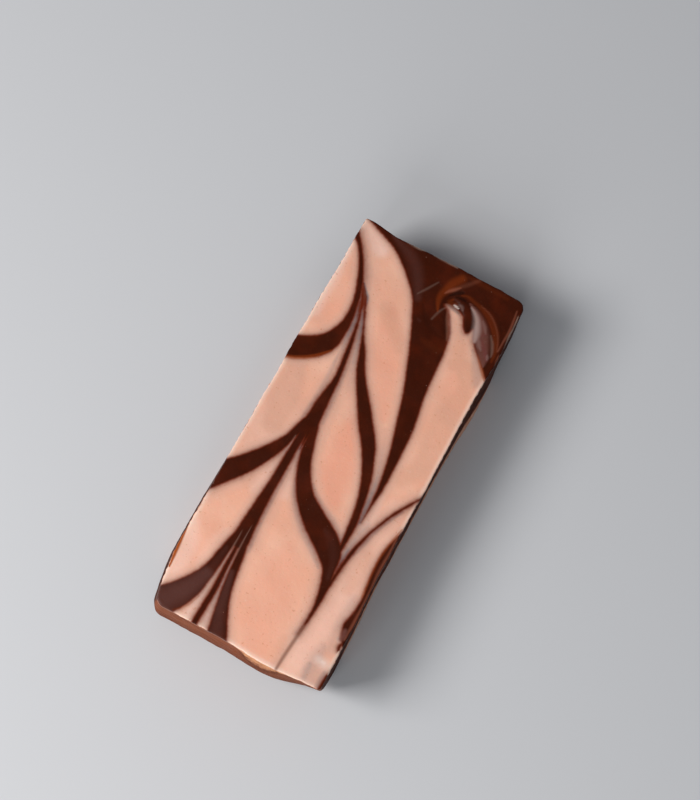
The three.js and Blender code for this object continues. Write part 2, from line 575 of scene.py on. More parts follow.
def make_mesh(name: str, points: Array, triangles: Array, attributes: dict[str, Array]) -> bpy.types.Object:
    """Puts points and triangles into a smooth-shaded mesh object.

    Args:
        name: Name of the object.
        points: Rows of x, y and z in millimetres.
        triangles: Rows of three point numbers.
        attributes: One number for each point, by name.

    Returns:
        The new object, at the origin.
    """
    mesh = bpy.data.meshes.new(name)
    mesh.vertices.add(len(points))
    mesh.vertices.foreach_set("co", (points * MM).astype(np.float32).ravel())
    mesh.loops.add(3 * len(triangles))
    mesh.loops.foreach_set("vertex_index", triangles.astype(np.int32).ravel())
    mesh.polygons.add(len(triangles))
    mesh.polygons.foreach_set("loop_start", np.arange(0, 3 * len(triangles), 3, dtype=np.int32))
    mesh.polygons.foreach_set("use_smooth", np.ones(len(triangles), dtype=bool))
    for key, values in attributes.items():
        layer = mesh.attributes.new(key, "FLOAT", "POINT")
        layer.data.foreach_set("value", values.astype(np.float32))
    mesh.update(calc_edges=True)
    mesh.validate()
    mesh.set_sharp_from_angle(angle=math.radians(55))
    piece = bpy.data.objects.new(name, mesh)
    bpy.context.scene.collection.objects.link(piece)
    return piece


# ---------------------------------------------------------------------------------------------
# The marbling
# ---------------------------------------------------------------------------------------------


@dataclass(frozen=True)
class Stroke:
    """A stroke of one fudge drawn through the other: a smooth line of varying width.

    Attributes:
        points: Given (x, y, half width) along the line.
        left: How many times softer than usual the edge on the left of its course is.
        right: The same for the edge on the right.
        steps: Straight pieces between two of its points.
    """

    points: Path
    left: float = 1.0
    right: float = 1.0
    steps: int = 5

    def course(self) -> Array:
        """The line as a Catmull-Rom curve through the points.

        Returns:
            Rows of (x, y, half width).
        """
        given = np.array(self.points)
        ends = 2 * given[[0, -1]] - given[[1, -2]]
        whole = np.vstack([ends[:1], given, ends[1:]])
        before, here, there, after = (whole[k : len(given) - 1 + k, None] for k in range(4))
        t = (np.arange(self.steps) / self.steps)[None, :, None]
        curve = 0.5 * (
            2 * here
            + (there - before) * t
            + (2 * before - 5 * here + 4 * there - after) * t**2
            + (3 * here - before - 3 * there + after) * t**3
        )
        course = np.vstack([curve.reshape(-1, 3), given[-1:]])
        course[:, 2] = np.maximum(course[:, 2], 0.04)
        return course

    def pieces(self, x: Array, y: Array) -> tuple[Array, Array, Array, Array]:
        """How places lie to each straight piece of the line.

        Args:
            x: Places across the slice.
            y: Places along the slice.

        Returns:
            For every piece and place: the x and y of the way from the piece's nearest point, the
            half width there, and the side, above 0 on the left.
        """
        course = self.course()
        start, run = course[:-1, :, None], np.diff(course, axis=0)[:, :, None]
        away_x, away_y = x - start[:, 0], y - start[:, 1]
        squared = np.maximum(run[:, 0] ** 2 + run[:, 1] ** 2, 1e-9)
        part = np.clip((away_x * run[:, 0] + away_y * run[:, 1]) / squared, 0, 1)
        side = (run[:, 0] * away_y - run[:, 1] * away_x) / np.sqrt(squared)
        return away_x - part * run[:, 0], away_y - part * run[:, 1], start[:, 2] + part * run[:, 2], side

    def nearest(self, x: Array, y: Array) -> tuple[Array, Array, Array]:
        """How places lie to the stroke.

        The distance from its edge is the least, over the line's pieces, of the distance to the
        piece less the half width there. Outside, it is divided by how soft that side's edge is.

        Args:
            x: Places across the slice.
            y: Places along the slice.

        Returns:
            For every place: the distance from the edge, negative inside it, and the x and y of
            the direction away from the line.
        """
        away_x, away_y, width, side = self.pieces(x, y)
        away = np.hypot(away_x, away_y)
        gap = away - width
        piece = np.argmin(gap, axis=0)[None]
        least, turned, away, away_x, away_y = (
            np.take_along_axis(values, piece, axis=0)[0] for values in (gap, side, away, away_x, away_y)
        )
        softness = lerp(self.right, self.left, smoothstep(turned, -0.5, 0.5))
        away = np.maximum(away, 1e-6)
        return np.where(least > 0, least / softness, least), away_x / away, away_y / away

    def distance(self, x: Array, y: Array) -> Array:
        """Distance of places from the stroke's edge, negative inside it."""
        return self.nearest(x, y)[0]


@dataclass(frozen=True)
class Smear:
    """A soft line that fades out to both sides and tapers where it narrows.

    Attributes:
        amount: How strong it is along its middle: above 1 the middle is level.
        points: Given (x, y, reach) along the line: at the reach it has faded out.
        core: Share of the reach that has the full strength.
    """

    amount: float
    points: Path
    core: float = 0.0

    def strength(self, x: Array, y: Array) -> Array:
        """Its strength at places, eased from full at the core to nothing at the reach."""
        away_x, away_y, reach, _ = Stroke(self.points).pieces(x, y)
        return self.amount * smoothstep(np.min(np.hypot(away_x, away_y) / reach, axis=0), 1.0, self.core)


def strongest(smears: tuple[Smear, ...], x: Array, y: Array) -> Array:
    """The greatest strength of several smears at places."""
    return np.max([smear.strength(x, y) for smear in smears], axis=0)


@dataclass(frozen=True)
class Marbling:
    """All strokes and smears of the marbled face, from its middle.

    Attributes:
        chocolate: Strokes of dark chocolate.
        finger: Tongue of pink fudge laid over the dark whorl.
        over: Chocolate laid over the tongue: the drop, and the ground under the mauve film.
        web: How strongly the thin chocolate between strokes shows.
        grey: Other thin chocolate under pink fudge, which looks grey.
        tan: Thin chocolate over pink fudge, which looks brown.
        vein: Fine pale lines in the chocolate.
        amber: Thin chocolate with light behind it.
        copper: Paler streaks in the whorl and in the right edge's torn band.
        shade: Painted shade in the whorl's grooves and darker lines.
        mauve: Pink fudge seen through a film of chocolate, in the whorl and under a torn flake.
        purple: Where that film is thick.
        pale_film_and_highlight: Pale creases and films, mostly a painted highlight on the whorl's mauve
            film.
        hairline_highlight: Fine light lines: pale scratches, and painted highlights along creases and along
            the right and far top edges.
        bloom_and_sheen: Paler haze on the chocolate, partly dusty bloom and partly painted sheen of a broad
            reflection.
        salmon: Redder middles of the pink lobes.
        pale: Milky places in the pink.
        dull: Darker places in the pink.
        painted_highlight: Painted highlights, whitish, on glossy places.
        film_reach: Distance from a stroke in which the thin chocolate beside it gets 2.7 times
            thinner.
        finger_height: How far the tongue stands up.
        drop_height: How far the drop stands up.
        film_height: How far the mauve film stands up.
        pit_centre: Middle of the pit at the tongue's tip.
        pit_width: Its width across and along the slice.
        pit_depth: Its depth.
        groove_depth: Depth of the grooves under the painted shade.
    """

    chocolate: tuple[Stroke, ...] = (
        # From the left edge's far corner down the trunk.
        Stroke(((-30, 65.8, 1.4), (-27.2, 63, 1), (-24.6, 60, 0.8), (-21.6, 55, 0.9),
                (-19.35, 50, 1.1), (-17.7, 45, 1.1), (-16.9, 40, 1.15)), left=2),
        # The trunk's hook, back to the left edge.
        Stroke(((-16.95, 41, 1.15), (-16.7, 36.5, 1.55), (-17.2, 33, 2.1), (-18.1, 29.5, 2.85),
                (-19.8, 26.6, 3.4), (-23, 24, 3.7), (-28.5, 21.4, 3.9), (-34, 20.6, 4.1)), left=1.1),
        # The middle streak, down to the node where the branches part.
        Stroke(((-17.6, 48.5, 0.2), (-16.9, 47, 0.35), (-15.9, 45.2, 0.4), (-15, 42.9, 0.4),
                (-14.3, 40.5, 0.4), (-13.7, 38.3, 0.45), (-12.15, 30, 0.85), (-10.8, 20, 1),
                (-10.8, 15, 1.4), (-11, 10, 2), (-10.9, 5, 2.35), (-10.95, 1, 2.85)),
               left=1.5, right=1.3),
        # The left branch.
        Stroke(((-12, 2, 2), (-13.3, -1, 1.6), (-14.6, -5, 1.55), (-15.9, -8, 1.95),
                (-18.1, -12, 2.45), (-20.7, -16, 2.95), (-23.7, -20, 3.3), (-27, -23.5, 3.75),
                (-33, -29.5, 4.6)), left=1.5),
        # The middle band.
        Stroke(((-11.4, 1, 1.5), (-11.7, -6, 1.4), (-11.75, -12, 1.5), (-11.85, -18, 1.55),
                (-12.05, -24, 1.8), (-12.15, -32, 2.3), (-12.1, -40, 3)), left=1.6),
        # The filled fork between the middle band and the right branch.
        Stroke(((-10.2, 0, 1), (-10, -3.5, 0.6), (-9.8, -6.5, 0.15))),
        # Three prongs at the near end.
        Stroke(((-12.6, -36, 1.5), (-14, -41, 1.5), (-15, -47, 1.75), (-15.4, -50, 1.9),
                (-16.6, -55, 2.5), (-18.5, -60, 3.6), (-21.6, -65, 4.4), (-27, -71, 5.2))),
        Stroke(((-12.1, -42, 0.7), (-11.9, -50, 0.9), (-11.6, -57, 1.02), (-11.8, -64, 1.05),
                (-11.9, -72, 1.1)), left=1.2, right=1.2),
        Stroke(((-11, -38, 1.2), (-10.2, -42, 1.3), (-9.75, -45, 1.4), (-9.1, -50, 1.5),
                (-8.3, -55, 1.7), (-7.1, -60, 2.05), (-5.45, -65, 2.65), (-3.1, -72, 3.7)),
               left=1.1, right=1.2),
        # The right branch, which tapers to a thin line.
        Stroke(((-9.5, 2, 1.5), (-8.5, -2, 1.6), (-7.75, -5.5, 1.95), (-6.4, -10, 2.15),
                (-3.9, -15, 2.5), (-0.6, -19.5, 2.95), (4.9, -24, 3.8), (10.9, -28.1, 4.1),
                (13.7, -30.85, 3.7), (15.65, -34.6, 2.3), (16.9, -39, 1.7), (17.7, -44, 1.15),
                (17.9, -48, 0.8), (17.7, -53, 0.5), (17.3, -57, 0.25)), left=1.2, right=1.3),
        # The centre streak.
        Stroke(((-15.9, 46.6, 0.05), (-14.9, 45.2, 0.3), (-13.6, 42.6, 0.38), (-12.6, 40.4, 0.38),
                (-11.8, 38.6, 0.3), (-10.25, 35, 0.5), (-7.8, 30, 1.1), (-5.6, 25, 1.45),
                (-2.6, 20, 1.75), (0.85, 15, 2.15), (4.2, 10, 2.4), (7.8, 5, 2.35), (10.4, 0, 2),
                (12.5, -5, 1.75), (14, -10, 1.45), (15, -15, 1.3), (15.7, -20, 1.3), (15.95, -25, 1),
                (16.1, -31, 0.7), (16.6, -36, 0.5)), left=1.2),
        # The broad band, from the far edge round the whorl's left.
        Stroke(((-30, 71.4, 0.6), (-22, 71, 3), (-12, 69.5, 5.7), (-3.4, 65.2, 7.6), (2.6, 57.8, 6.9),
                (5.8, 51, 6.5), (9, 42, 5.8), (10.8, 34, 4.6), (12.85, 25, 3.45), (15.15, 15, 2.9),
                (16.75, 5, 1.85), (17.75, -5, 1.05), (17.75, -12, 0.45), (17.7, -18, 0.05))),
        # The far end's right part.
        Stroke(((5, 66, 6), (14, 66, 6), (24, 64, 7), (28, 60, 6), (29.5, 54, 4), (31, 48, 3.2),
                (32, 42, 2.6)), left=1.2, right=1.2),
        # The whorl's ground, under the tongue.
        Stroke(((7, 58.5, 3.5), (12, 58.8, 3.2), (17.5, 56.5, 3), (20.5, 54.8, 2.4))),
        # The fine streak from the right edge.
        Stroke(((33, 1.5, 0.2), (30, -3, 0.35), (28.3, -5.8, 0.5), (25.1, -11.1, 0.52),
                (22.85, -16.3, 0.45), (21.4, -20, 0.46), (20.35, -24, 0.65), (19.85, -26, 0.72),
                (19.35, -29, 0.72), (18.95, -32.3, 0.65), (18.4, -38, 0.7), (18, -45, 0.6)),
               left=1.5, right=1.1),
        # The right edge's band, its torn flakes, and the wedge at the near right corner.
        Stroke(((31.6, -12, 0.2), (30.9, -14, 0.6), (30.3, -18, 1.35), (29.8, -22, 1.95),
                (29.6, -26, 2.05), (29.8, -30, 2.05), (30.2, -34, 2), (30.5, -38, 1.7),
                (30.4, -42, 1.7), (30.1, -45, 1.75), (29.7, -48, 2), (30.4, -51, 1.6),
                (30.9, -53.3, 0.9))),
        Stroke(((30.3, -53.2, 0.4), (30, -54.6, 0.6), (30.3, -55.8, 0.5))),
        Stroke(((30.9, -62.6, 0.1), (30.8, -64.6, 0.45), (30.9, -67, 0.75), (31.3, -72, 1.2))),
    )
    finger: Stroke = Stroke(((8.6, 56.3, 0.45), (10.6, 55.5, 1.15), (12.9, 53.5, 2.0), (15.3, 50.6, 2.6),
                             (17.8, 47.1, 3.3), (21.2, 41, 4.9)), right=2.2)
    over: tuple[Stroke, ...] = (
        Stroke(((9.8, 59.9, 0.8), (11.5, 59.4, 1.3), (13.2, 58.6, 1.6), (15, 57, 1.8),
                (16.5, 55.2, 2.05), (17.2, 53.4, 1.85), (17.4, 52.2, 1.4), (17.5, 51.2, 0.75))),
        Stroke(((14.8, 60.4, 0.5), (17.3, 58.6, 1.6), (20.2, 56.4, 2.5), (22.6, 53.3, 3.3),
                (24.4, 50.2, 3.2), (26.4, 47.2, 2.5), (28.2, 44.4, 1.8), (30.2, 41.2, 1))),
    )
    web: tuple[Smear, ...] = (
        Smear(0.95, ((-15, 47, 2), (-13.2, 39, 4), (-11.2, 31, 4.5), (-8.5, 22, 4.5), (-6, 16, 3)),
              core=0.7),
        Smear(1.15, ((11.5, 10, 3), (14.5, 1, 4), (16.3, -8, 3.5), (17, -16, 3)), core=0.7),
        Smear(1, ((17.6, -16, 2.5), (18.8, -21, 3.5), (18.2, -29, 2.5), (18, -34, 1.5)), core=0.5),
        Smear(0.8, ((14.2, -18, 1), (13.4, -23, 2.4), (14.2, -27, 1.6)), core=0.5),
        Smear(0.45, ((-11.5, 1, 3), (-11.7, -6, 4.5), (-12, -14, 5.5), (-11.5, -24, 4)), core=0.7),
        Smear(0.4, ((-13.2, -42, 2), (-13.4, -52, 2.5), (-13.6, -62, 3), (-14, -72, 3.5)), core=0.5),
        Smear(0.55, ((-10.9, -42, 0.8), (-10.4, -52, 1.4), (-9.9, -60, 1.8), (-9.4, -72, 2.4)), core=0.7),
    )
    grey: tuple[Smear, ...] = (
        Smear(0.15, ((-24.5, 61.5, 0.8), (-19.5, 54, 2.6), (-16.2, 48, 2), (-14.5, 44, 0.8)), core=0.2),
        Smear(2.2, ((-18.2, 50, 0.8), (-16.9, 48, 1.4), (-15.7, 46, 2), (-15.2, 44, 1.7),
                    (-15, 42, 0.6)), core=0.2),
        Smear(0.3, ((-9.6, 26, 0.5), (-8.8, 14, 1.6), (-7.6, 4, 0.8)), core=0.2),
        Smear(0.3, ((-14.2, 28, 0.5), (-13.3, 14, 1.4), (-14.2, 3, 0.8)), core=0.2),
        Smear(0.35, ((-9.9, -14, 0.8), (-9.6, -30, 1.3), (-8.2, -42, 1)), core=0.2),
        Smear(0.4, ((-8, -9, 0.6), (-4, -19.5, 2.2), (2, -27, 2.4), (8, -32, 1.8), (13, -36.5, 0.6)),
              core=0.2),
        Smear(0.3, ((-1, -14.5, 0.5), (5, -19.5, 1.8), (11, -22, 1.6), (14, -24.5, 0.8)), core=0.2),
        Smear(0.5, ((19.6, -30, 0.5), (21, -24, 1.7), (23, -17, 1.4), (27, -9, 0.8)), core=0.2),
        Smear(0.1, ((-24, 17, 4), (-22, 4, 8), (-23, -10, 7)), core=0.3),
        # The soft sides of the right branch's thin end.
        Smear(0.25, ((17.6, -50, 1.2), (17, -58, 2.6), (16.6, -64, 3), (16.2, -70, 3))),
        # Clouds at the near right corner.
        Smear(0.25, ((27, -40, 3), (27, -49, 3), (27, -58, 3))),
        Smear(0.4, ((26, -57, 3), (26, -61, 4.5), (26.5, -67, 5))),
        Smear(0.6, ((24.8, -63.5, 2.2), (24.9, -65.5, 2.8), (25.2, -67.5, 2.4))),
        Smear(0.5, ((29.6, -63.5, 1.2), (29.6, -66, 2.2), (29.8, -69, 1.8))),
        # The tongue's soft tip and left side.
        Smear(0.6, ((8.6, 56.4, 0.7), (10.3, 56, 1.1), (12.6, 55.6, 0.7)), core=0.3),
        Smear(0.4, ((8.9, 55.8, 0.7), (9.9, 54, 1.2), (11.9, 50.6, 1.2), (14, 46.4, 0.8)), core=0.2),
        Smear(0.3, ((22, 47, 0.5), (25, 43, 2), (28, 38, 2.4)), core=0.2),
    )
    tan: tuple[Smear, ...] = (
        Smear(0.8, ((17.6, -54, 0.5), (17.3, -58, 1), (16.95, -62, 1.05), (16.65, -66, 1),
                    (16.5, -69.5, 0.8)), core=0.05),
        Smear(0.45, ((7.9, 56.5, 0.6), (9.4, 56.4, 0.9), (10.8, 56.4, 0.5)), core=0.2),
        Smear(0.35, ((9.2, 54.8, 0.4), (10.6, 52, 0.9), (12.3, 49, 0.9), (13.6, 46, 0.5)), core=0.2),
    )
    vein: tuple[Smear, ...] = (
        Smear(0.28, ((-12.95, -36, 0.1), (-13, -41, 0.4), (-13.1, -46, 0.5), (-13.2, -50, 0.3))),
        Smear(0.28, ((-11.3, -34, 0.1), (-11.15, -40, 0.4), (-11, -46, 0.5), (-10.8, -52, 0.3))),
        Smear(0.25, ((-13.3, -2.5, 0.1), (-13.2, -5, 0.4), (-13.3, -8, 0.3))),
    )
    amber: tuple[Smear, ...] = (
        Smear(0.75, ((6.6, 53, 0.4), (5.4, 55.6, 1.2), (5, 58, 1.7), (5.6, 60.6, 2), (6.6, 63.4, 2.6),
                     (8.4, 66.2, 2.4)), core=0.1),
        Smear(0.55, ((9, 59, 0.6), (8.4, 57.6, 1.4), (10.4, 57.6, 1.2))),
        Smear(0.42, ((10.8, 61.2, 0.4), (12.6, 61.8, 0.8), (15, 61.2, 1), (18.6, 60.2, 1.3),
                     (22, 58.6, 1.7), (24.8, 56.2, 1.8), (27, 53, 1.7), (28.5, 49.6, 1.3),
                     (29, 46.2, 0.6)), core=0.1),
        Smear(0.15, ((6.5, 42.5, 1), (11.5, 42, 3), (14.8, 42.8, 1))),
        Smear(0.2, ((10, 67.6, 1), (16, 67.4, 1.6), (24, 67, 1))),
        Smear(0.35, ((6.6, 65.9, 0.4), (7.4, 65.9, 0.6))),
        Smear(1, ((-31, 17, 0.7), (-25.8, 18.5, 0.9), (-20.4, 21.9, 0.9), (-16.6, 26, 0.4)), core=0.2),
        Smear(0.8, ((-29.2, -31, 0.2), (-28.6, -36, 0.9), (-28.8, -41, 0.3)), core=0.2),
        Smear(1.25, ((-28.7, -42, 0.3), (-28.2, -47, 0.8), (-27.7, -52, 1), (-27.1, -57.4, 0.5)),
              core=0.2),
        Smear(0.4, ((-14.6, -61, 0.3), (-16.2, -65, 0.5), (-19.5, -68.5, 0.6))),
        Smear(0.8, ((24.3, 46.4, 0.3), (25.2, 45.3, 0.7), (27.2, 43, 0.8), (29.9, 39.8, 0.4)), core=0.2),
        Smear(0.7, ((29.6, -14, 0.3), (28.3, -21, 0.6), (27.8, -27, 0.6), (28.8, -38, 0.5)), core=0.2),
        Smear(0.6, ((31.2, -65, 0.3), (31.2, -67, 0.6), (31, -69, 0.5))),
    )
    copper: tuple[Smear, ...] = (
        Smear(0.5, ((5.8, 59.6, 0.4), (6.7, 60.8, 0.8), (8.1, 62.1, 0.95), (9.4, 63.4, 0.5))),
        Smear(0.18, ((7.8, 62.2, 0.5), (10.4, 64.7, 1.3), (13.6, 68.4, 1))),
        Smear(0.22, ((17.8, 61.1, 0.3), (21.8, 59.7, 0.5), (25.1, 57, 0.5), (27.4, 53.8, 0.4),
                     (28.9, 50, 0.3))),
        Smear(0.4, ((28.4, 65, 0.3), (29, 61, 0.6), (29.3, 57.5, 0.6), (29.2, 54, 0.5),
                    (29.2, 50.2, 0.3))),
        # The torn band along the right edge.
        Smear(0.4, ((29.6, -17, 0.7), (29.8, -22, 0.8), (29.7, -26, 1), (29.8, -30, 1),
                    (30.1, -35, 0.7), (30.2, -41, 0.6), (30.3, -47, 0.8), (30.3, -52, 0.6))),
        Smear(0.35, ((29.9, 49.4, 0.2), (30.2, 47.8, 0.5), (30.4, 45.5, 0.2))),
    )
    # Painted shade in the whorl's grooves, which the relief also sinks.
    shade: tuple[Smear, ...] = (
        Smear(0.9, ((7.4, 59.6, 0.3), (8.6, 60.8, 0.8), (10, 61.9, 1), (11, 62.4, 0.5)), core=0.1),
        Smear(0.7, ((9.4, 60, 0.6), (11, 60.2, 0.9), (12.8, 60.2, 0.5)), core=0.1),
        Smear(0.3, ((8.6, 54.8, 0.6), (9.4, 52.6, 1.3), (11, 49.4, 1.3), (12.6, 46.4, 0.8)), core=0.1),
        Smear(0.15, ((19, 62.4, 0.3), (23.4, 60.7, 0.8), (26.9, 57.4, 0.8), (29, 52.6, 0.5))),
        Smear(0.3, ((1.5, 53, 0.5), (4.8, 49, 1.6), (9, 46.5, 1.8), (12.5, 46, 0.8))),
    )
    mauve: tuple[Smear, ...] = (
        Smear(0.85, ((14.4, 60, 0.4), (17.6, 58.3, 1.3), (20, 56.1, 2.2), (22, 53.2, 3),
                     (23.6, 50.3, 3.1), (25.4, 47.5, 2.4), (26.8, 45, 1.3), (27.5, 43.4, 0.3)),
              core=0.35),
        Smear(0.8, ((29.2, -49.6, 1.2), (29.3, -51, 1.6), (29.2, -52.4, 1.3)), core=0.2),
    )
    purple: tuple[Smear, ...] = (
        Smear(0.6, ((23, 51.2, 0.4), (24.2, 49.7, 1), (25.9, 47.9, 1.1), (27.4, 45.9, 0.9)), core=0.1),
        Smear(0.5, ((22.2, 52.2, 0.3), (22.9, 52.9, 0.6), (23.6, 53.6, 0.3))),
    )
    # Mostly a painted highlight on the whorl's mauve film and round the tongue's tip; also pale spots and
    # creases.
    pale_film_and_highlight: tuple[Smear, ...] = (
        Smear(0.72, ((15.3, 59.1, 0.4), (16.8, 58.1, 1.1), (18.6, 56.3, 1.7), (19.9, 53.8, 2.1),
                     (20.6, 51.6, 2.1), (21.2, 49.8, 1.1))),
        Smear(0.15, ((20.4, 56.9, 0.4), (22, 55.3, 1), (23.2, 53.6, 0.4))),
        Smear(0.2, ((21.4, 51.6, 0.4), (22.8, 49.6, 1.3), (24.4, 48, 0.4))),
        Smear(0.25, ((26.8, 47.6, 0.4), (27.2, 47, 0.8), (27.4, 46.2, 0.5))),
        Smear(0.15, ((11.4, 57.9, 0.5), (12.6, 57.7, 1.1), (13.4, 56.9, 0.5))),
        Smear(0.4, ((28.2, -52.6, 0.8), (28.9, -53.4, 0.8))),
    )
    # Pale scratches, and painted highlights along creases.
    hairline_highlight: tuple[Smear, ...] = (
        Smear(0.12, ((24.9, 53.8, 0.4), (26.4, 51.8, 0.8), (27.6, 49.4, 0.8), (28.1, 47.6, 0.4))),
        Smear(0.08, ((-1.7, 55.3, 0.4), (0.2, 58.1, 0.7), (2.4, 61.7, 0.4))),
        Smear(0.08, ((8.2, 55.3, 0.4), (7.4, 54, 0.6), (6.7, 52.2, 0.7), (6.1, 50, 0.6))),
        # Painted highlights along the right top edge and along the far top edge.
        Smear(0.35, ((29.6, 63.5, 0.3), (30, 60, 0.4), (30, 56, 0.4), (30.4, 52.5, 0.4),
                     (30.7, 48.5, 0.4), (30.8, 45, 0.3))),
        Smear(0.8, ((30.6, -55.8, 0.3), (30.5, -58, 0.5), (30.7, -61, 0.5), (31, -63.4, 0.3)), core=0.3),
        Smear(0.4, ((-15.5, 69, 0.3), (-9, 68.7, 0.45), (-6, 68.8, 0.15)), core=0.1),
        Smear(0.35, ((-3, 68.9, 0.2), (1, 69, 0.4), (5.5, 68.8, 0.2)), core=0.1),
    )
    # Paler haze on the chocolate: partly dusty bloom, partly painted sheen of a broad reflection.
    bloom_and_sheen: tuple[Smear, ...] = (
        Smear(0.25, ((-14.6, -44, 1), (-15.3, -50, 2.2), (-16.4, -55, 3))),
        Smear(0.95, ((-16, -54, 3.5), (-18.4, -59.5, 5.2), (-22, -65, 7.2), (-27, -71, 8)), core=0.1),
        Smear(0.55, ((-9.6, -50, 1.4), (-8.1, -57, 2), (-7.1, -62, 2.8), (-4.8, -68, 3.6),
                     (-3.6, -71, 3.8)), core=0.1),
        Smear(0.2, ((9, -25, 1), (13, -28, 2.6), (15.6, -32, 2.2), (17, -38, 1))),
        Smear(0.45, ((-18, 69, 1), (-9, 65, 3.2), (-4.5, 60.5, 3.2), (-1, 54, 2))),
        Smear(0.3, ((2.2, 47.9, 0.5), (3.2, 47.6, 0.7))),
    )
    salmon: tuple[Smear, ...] = (
        Smear(0.75, ((1, 12, 2), (2.2, 2, 8), (4, -8, 8.5), (7, -17, 4)), core=0.2),
        Smear(0.35, ((-22.5, 50, 3), (-22.5, 38, 7.5), (-23, 30, 3)), core=0.2),
        Smear(0.5, ((-6, 46, 3), (-3, 36, 8), (4, 22, 6), (8, 14, 2)), core=0.2),
        Smear(0.4, ((2, -36, 4), (4, -50, 12), (8, -66, 10)), core=0.2),
        Smear(0.3, ((-24, -34, 3), (-22.5, -44, 6), (-22, -52, 3)), core=0.2),
        Smear(0.3, ((21, 36, 4), (24, 28, 7)), core=0.2),
    )
    pale: tuple[Smear, ...] = (
        Smear(1.2, ((-27, 69.5, 3), (-25, 67, 4), (-19, 63, 4.5)), core=0.2),
        Smear(0.7, ((-27.5, 61, 2), (-27.8, 48, 3.4), (-27.5, 35, 3)), core=0.2),
        Smear(0.75, ((-27, -42, 3), (-25, -50, 5.5), (-24.5, -60, 4.5))),
        Smear(0.4, ((-17, -40, 2.5), (-19, -46, 4), (-20, -52, 3))),
        Smear(0.55, ((-9.4, -12, 2), (-8, -17, 3.4), (-6.8, -21, 3.4))),
        Smear(0.5, ((-14.5, -14, 2), (-15.3, -19, 3.6), (-16, -24, 3.4))),
        Smear(0.35, ((24.5, -9, 4), (24.5, -24, 6), (24, -40, 6)), core=0.4),
        Smear(0.6, ((24.5, -33, 4), (24, -42, 6), (22.5, -54, 6), (21, -66, 5)), core=0.3),
        Smear(0.2, ((-24, 17, 4), (-22, 4, 8), (-23, -10, 7)), core=0.3),
        Smear(0.7, ((19, -8, 2), (20, -18, 3.5), (19.5, -27, 2)), core=0.1),
        Smear(1.1, ((-14, -54, 0.8), (-14.2, -62, 2), (-14.6, -70, 3)), core=0.2),
        Smear(1, ((-9.9, -58, 0.8), (-9.4, -65, 1.8), (-9.2, -70, 2)), core=0.2),
        Smear(0.5, ((-18, -70, 3), (0, -70.5, 3.4), (25, -70, 3.4))),
        Smear(0.2, ((12.2, 54.5, 1), (14.5, 51, 2.4), (17.5, 47.5, 2.6)), core=0.1),
    )
    dull: tuple[Smear, ...] = (
        Smear(0.6, ((-24, 18, 4), (-22, 8, 7), (-21, -3, 5)), core=0.4),
        Smear(0.5, ((-8, 46, 4), (-2, 41, 4), (2, 36, 2)), core=0.2),
        Smear(0.7, ((28, 44, 2), (26.5, 38, 5), (22, 41, 4), (19, 40, 3)), core=0.4),
        Smear(0.5, ((26, 34, 4), (25, 22, 6), (26, 8, 5), (22, 0, 4)), core=0.3),
        Smear(0.5, ((24, -26, 3), (24.5, -32, 5), (24, -38, 3)), core=0.2),
        Smear(0.45, ((14, -60, 2), (15, -67, 4)), core=0.1),
        Smear(0.7, ((13, 53, 2), (16, 49, 3), (19, 44, 4)), core=0.2),
        Smear(0.4, ((-8, 14, 2), (-7, 4, 4), (-5, -4, 3)), core=0.2),
    )
    # Painted highlights: a whitish glint at the tongue's tip and a glare near the near right edge.
    painted_highlight: tuple[Smear, ...] = (
        Smear(0.75, ((10, 57.5, 0.3), (10.8, 57.2, 0.6), (11.9, 56.9, 0.3)), core=0.1),
        Smear(0.45, ((26.4, -61, 2.4), (28.5, -61.3, 2.8))),
        Smear(0.7, ((27.6, -61, 1.4), (28.4, -61.1, 1.3))),
    )
    film_reach: float = 1.0
    finger_height: float = 0.3
    drop_height: float = 0.45
    film_height: float = 0.15
    pit_centre: tuple[float, float] = (8.2, 58.8)
    pit_width: tuple[float, float] = (2.6, 2.8)
    pit_depth: float = 0.75
    groove_depth: float = 0.2

    def chocolate_distance(self, x: Array, y: Array) -> Array:
        """Distance from the chocolate's edge, negative in the chocolate.

        The least distance over the strokes, with the pink tongue cut out of it and what lies over
        the tongue added again.

        Args:
            x: Places across the slice.
            y: Places along the slice.

        Returns:
            One distance for each place.
        """
        distance = np.min([stroke.distance(x, y) for stroke in self.chocolate], axis=0)
        distance = np.maximum(distance, -self.finger.distance(x, y))
        return np.min([distance, *(stroke.distance(x, y) for stroke in self.over)], axis=0)

    def relief(self, x: Array, y: Array) -> Array:
        """How far the whorl stands up: the tongue, the drop and the film do, round a shallow pit.

        Args:
            x: Places across the slice.
            y: Places along the slice.

        Returns:
            One height for each place.
        """
        (middle_x, middle_y), (width_x, width_y) = self.pit_centre, self.pit_width
        pit = swelling(x, middle_x, width_x) * swelling(y, middle_y, width_y)
        tongue = smoothstep(self.finger.distance(x, y), 0.5, -1.2) * smoothstep(y, 44, 56)
        drop = smoothstep(self.over[0].distance(x, y), 0.4, -1.2)
        return (self.finger_height * tongue + self.drop_height * drop
                + self.film_height * strongest(self.mauve, x, y)
                - self.pit_depth * pit - self.groove_depth * strongest(self.shade, x, y))

    def film(self, x: Array, y: Array) -> Array:
        """Thickness of the thin chocolate that spans the gaps between strokes.

        Every stroke gives a push away from itself, exp(-distance / film_reach) strong. The film
        is what the pushes from opposite sides cancel: the sum of their strengths less the
        strength of their sum.

        Args:
            x: Places across the slice.
            y: Places along the slice.

        Returns:
            One thickness for each place.
        """
        distance, away_x, away_y = np.stack([stroke.nearest(x, y) for stroke in self.chocolate], axis=1)
        push = np.exp(-np.maximum(distance, 0) / self.film_reach)
        return push.sum(axis=0) - np.hypot((push * away_x).sum(axis=0), (push * away_y).sum(axis=0))

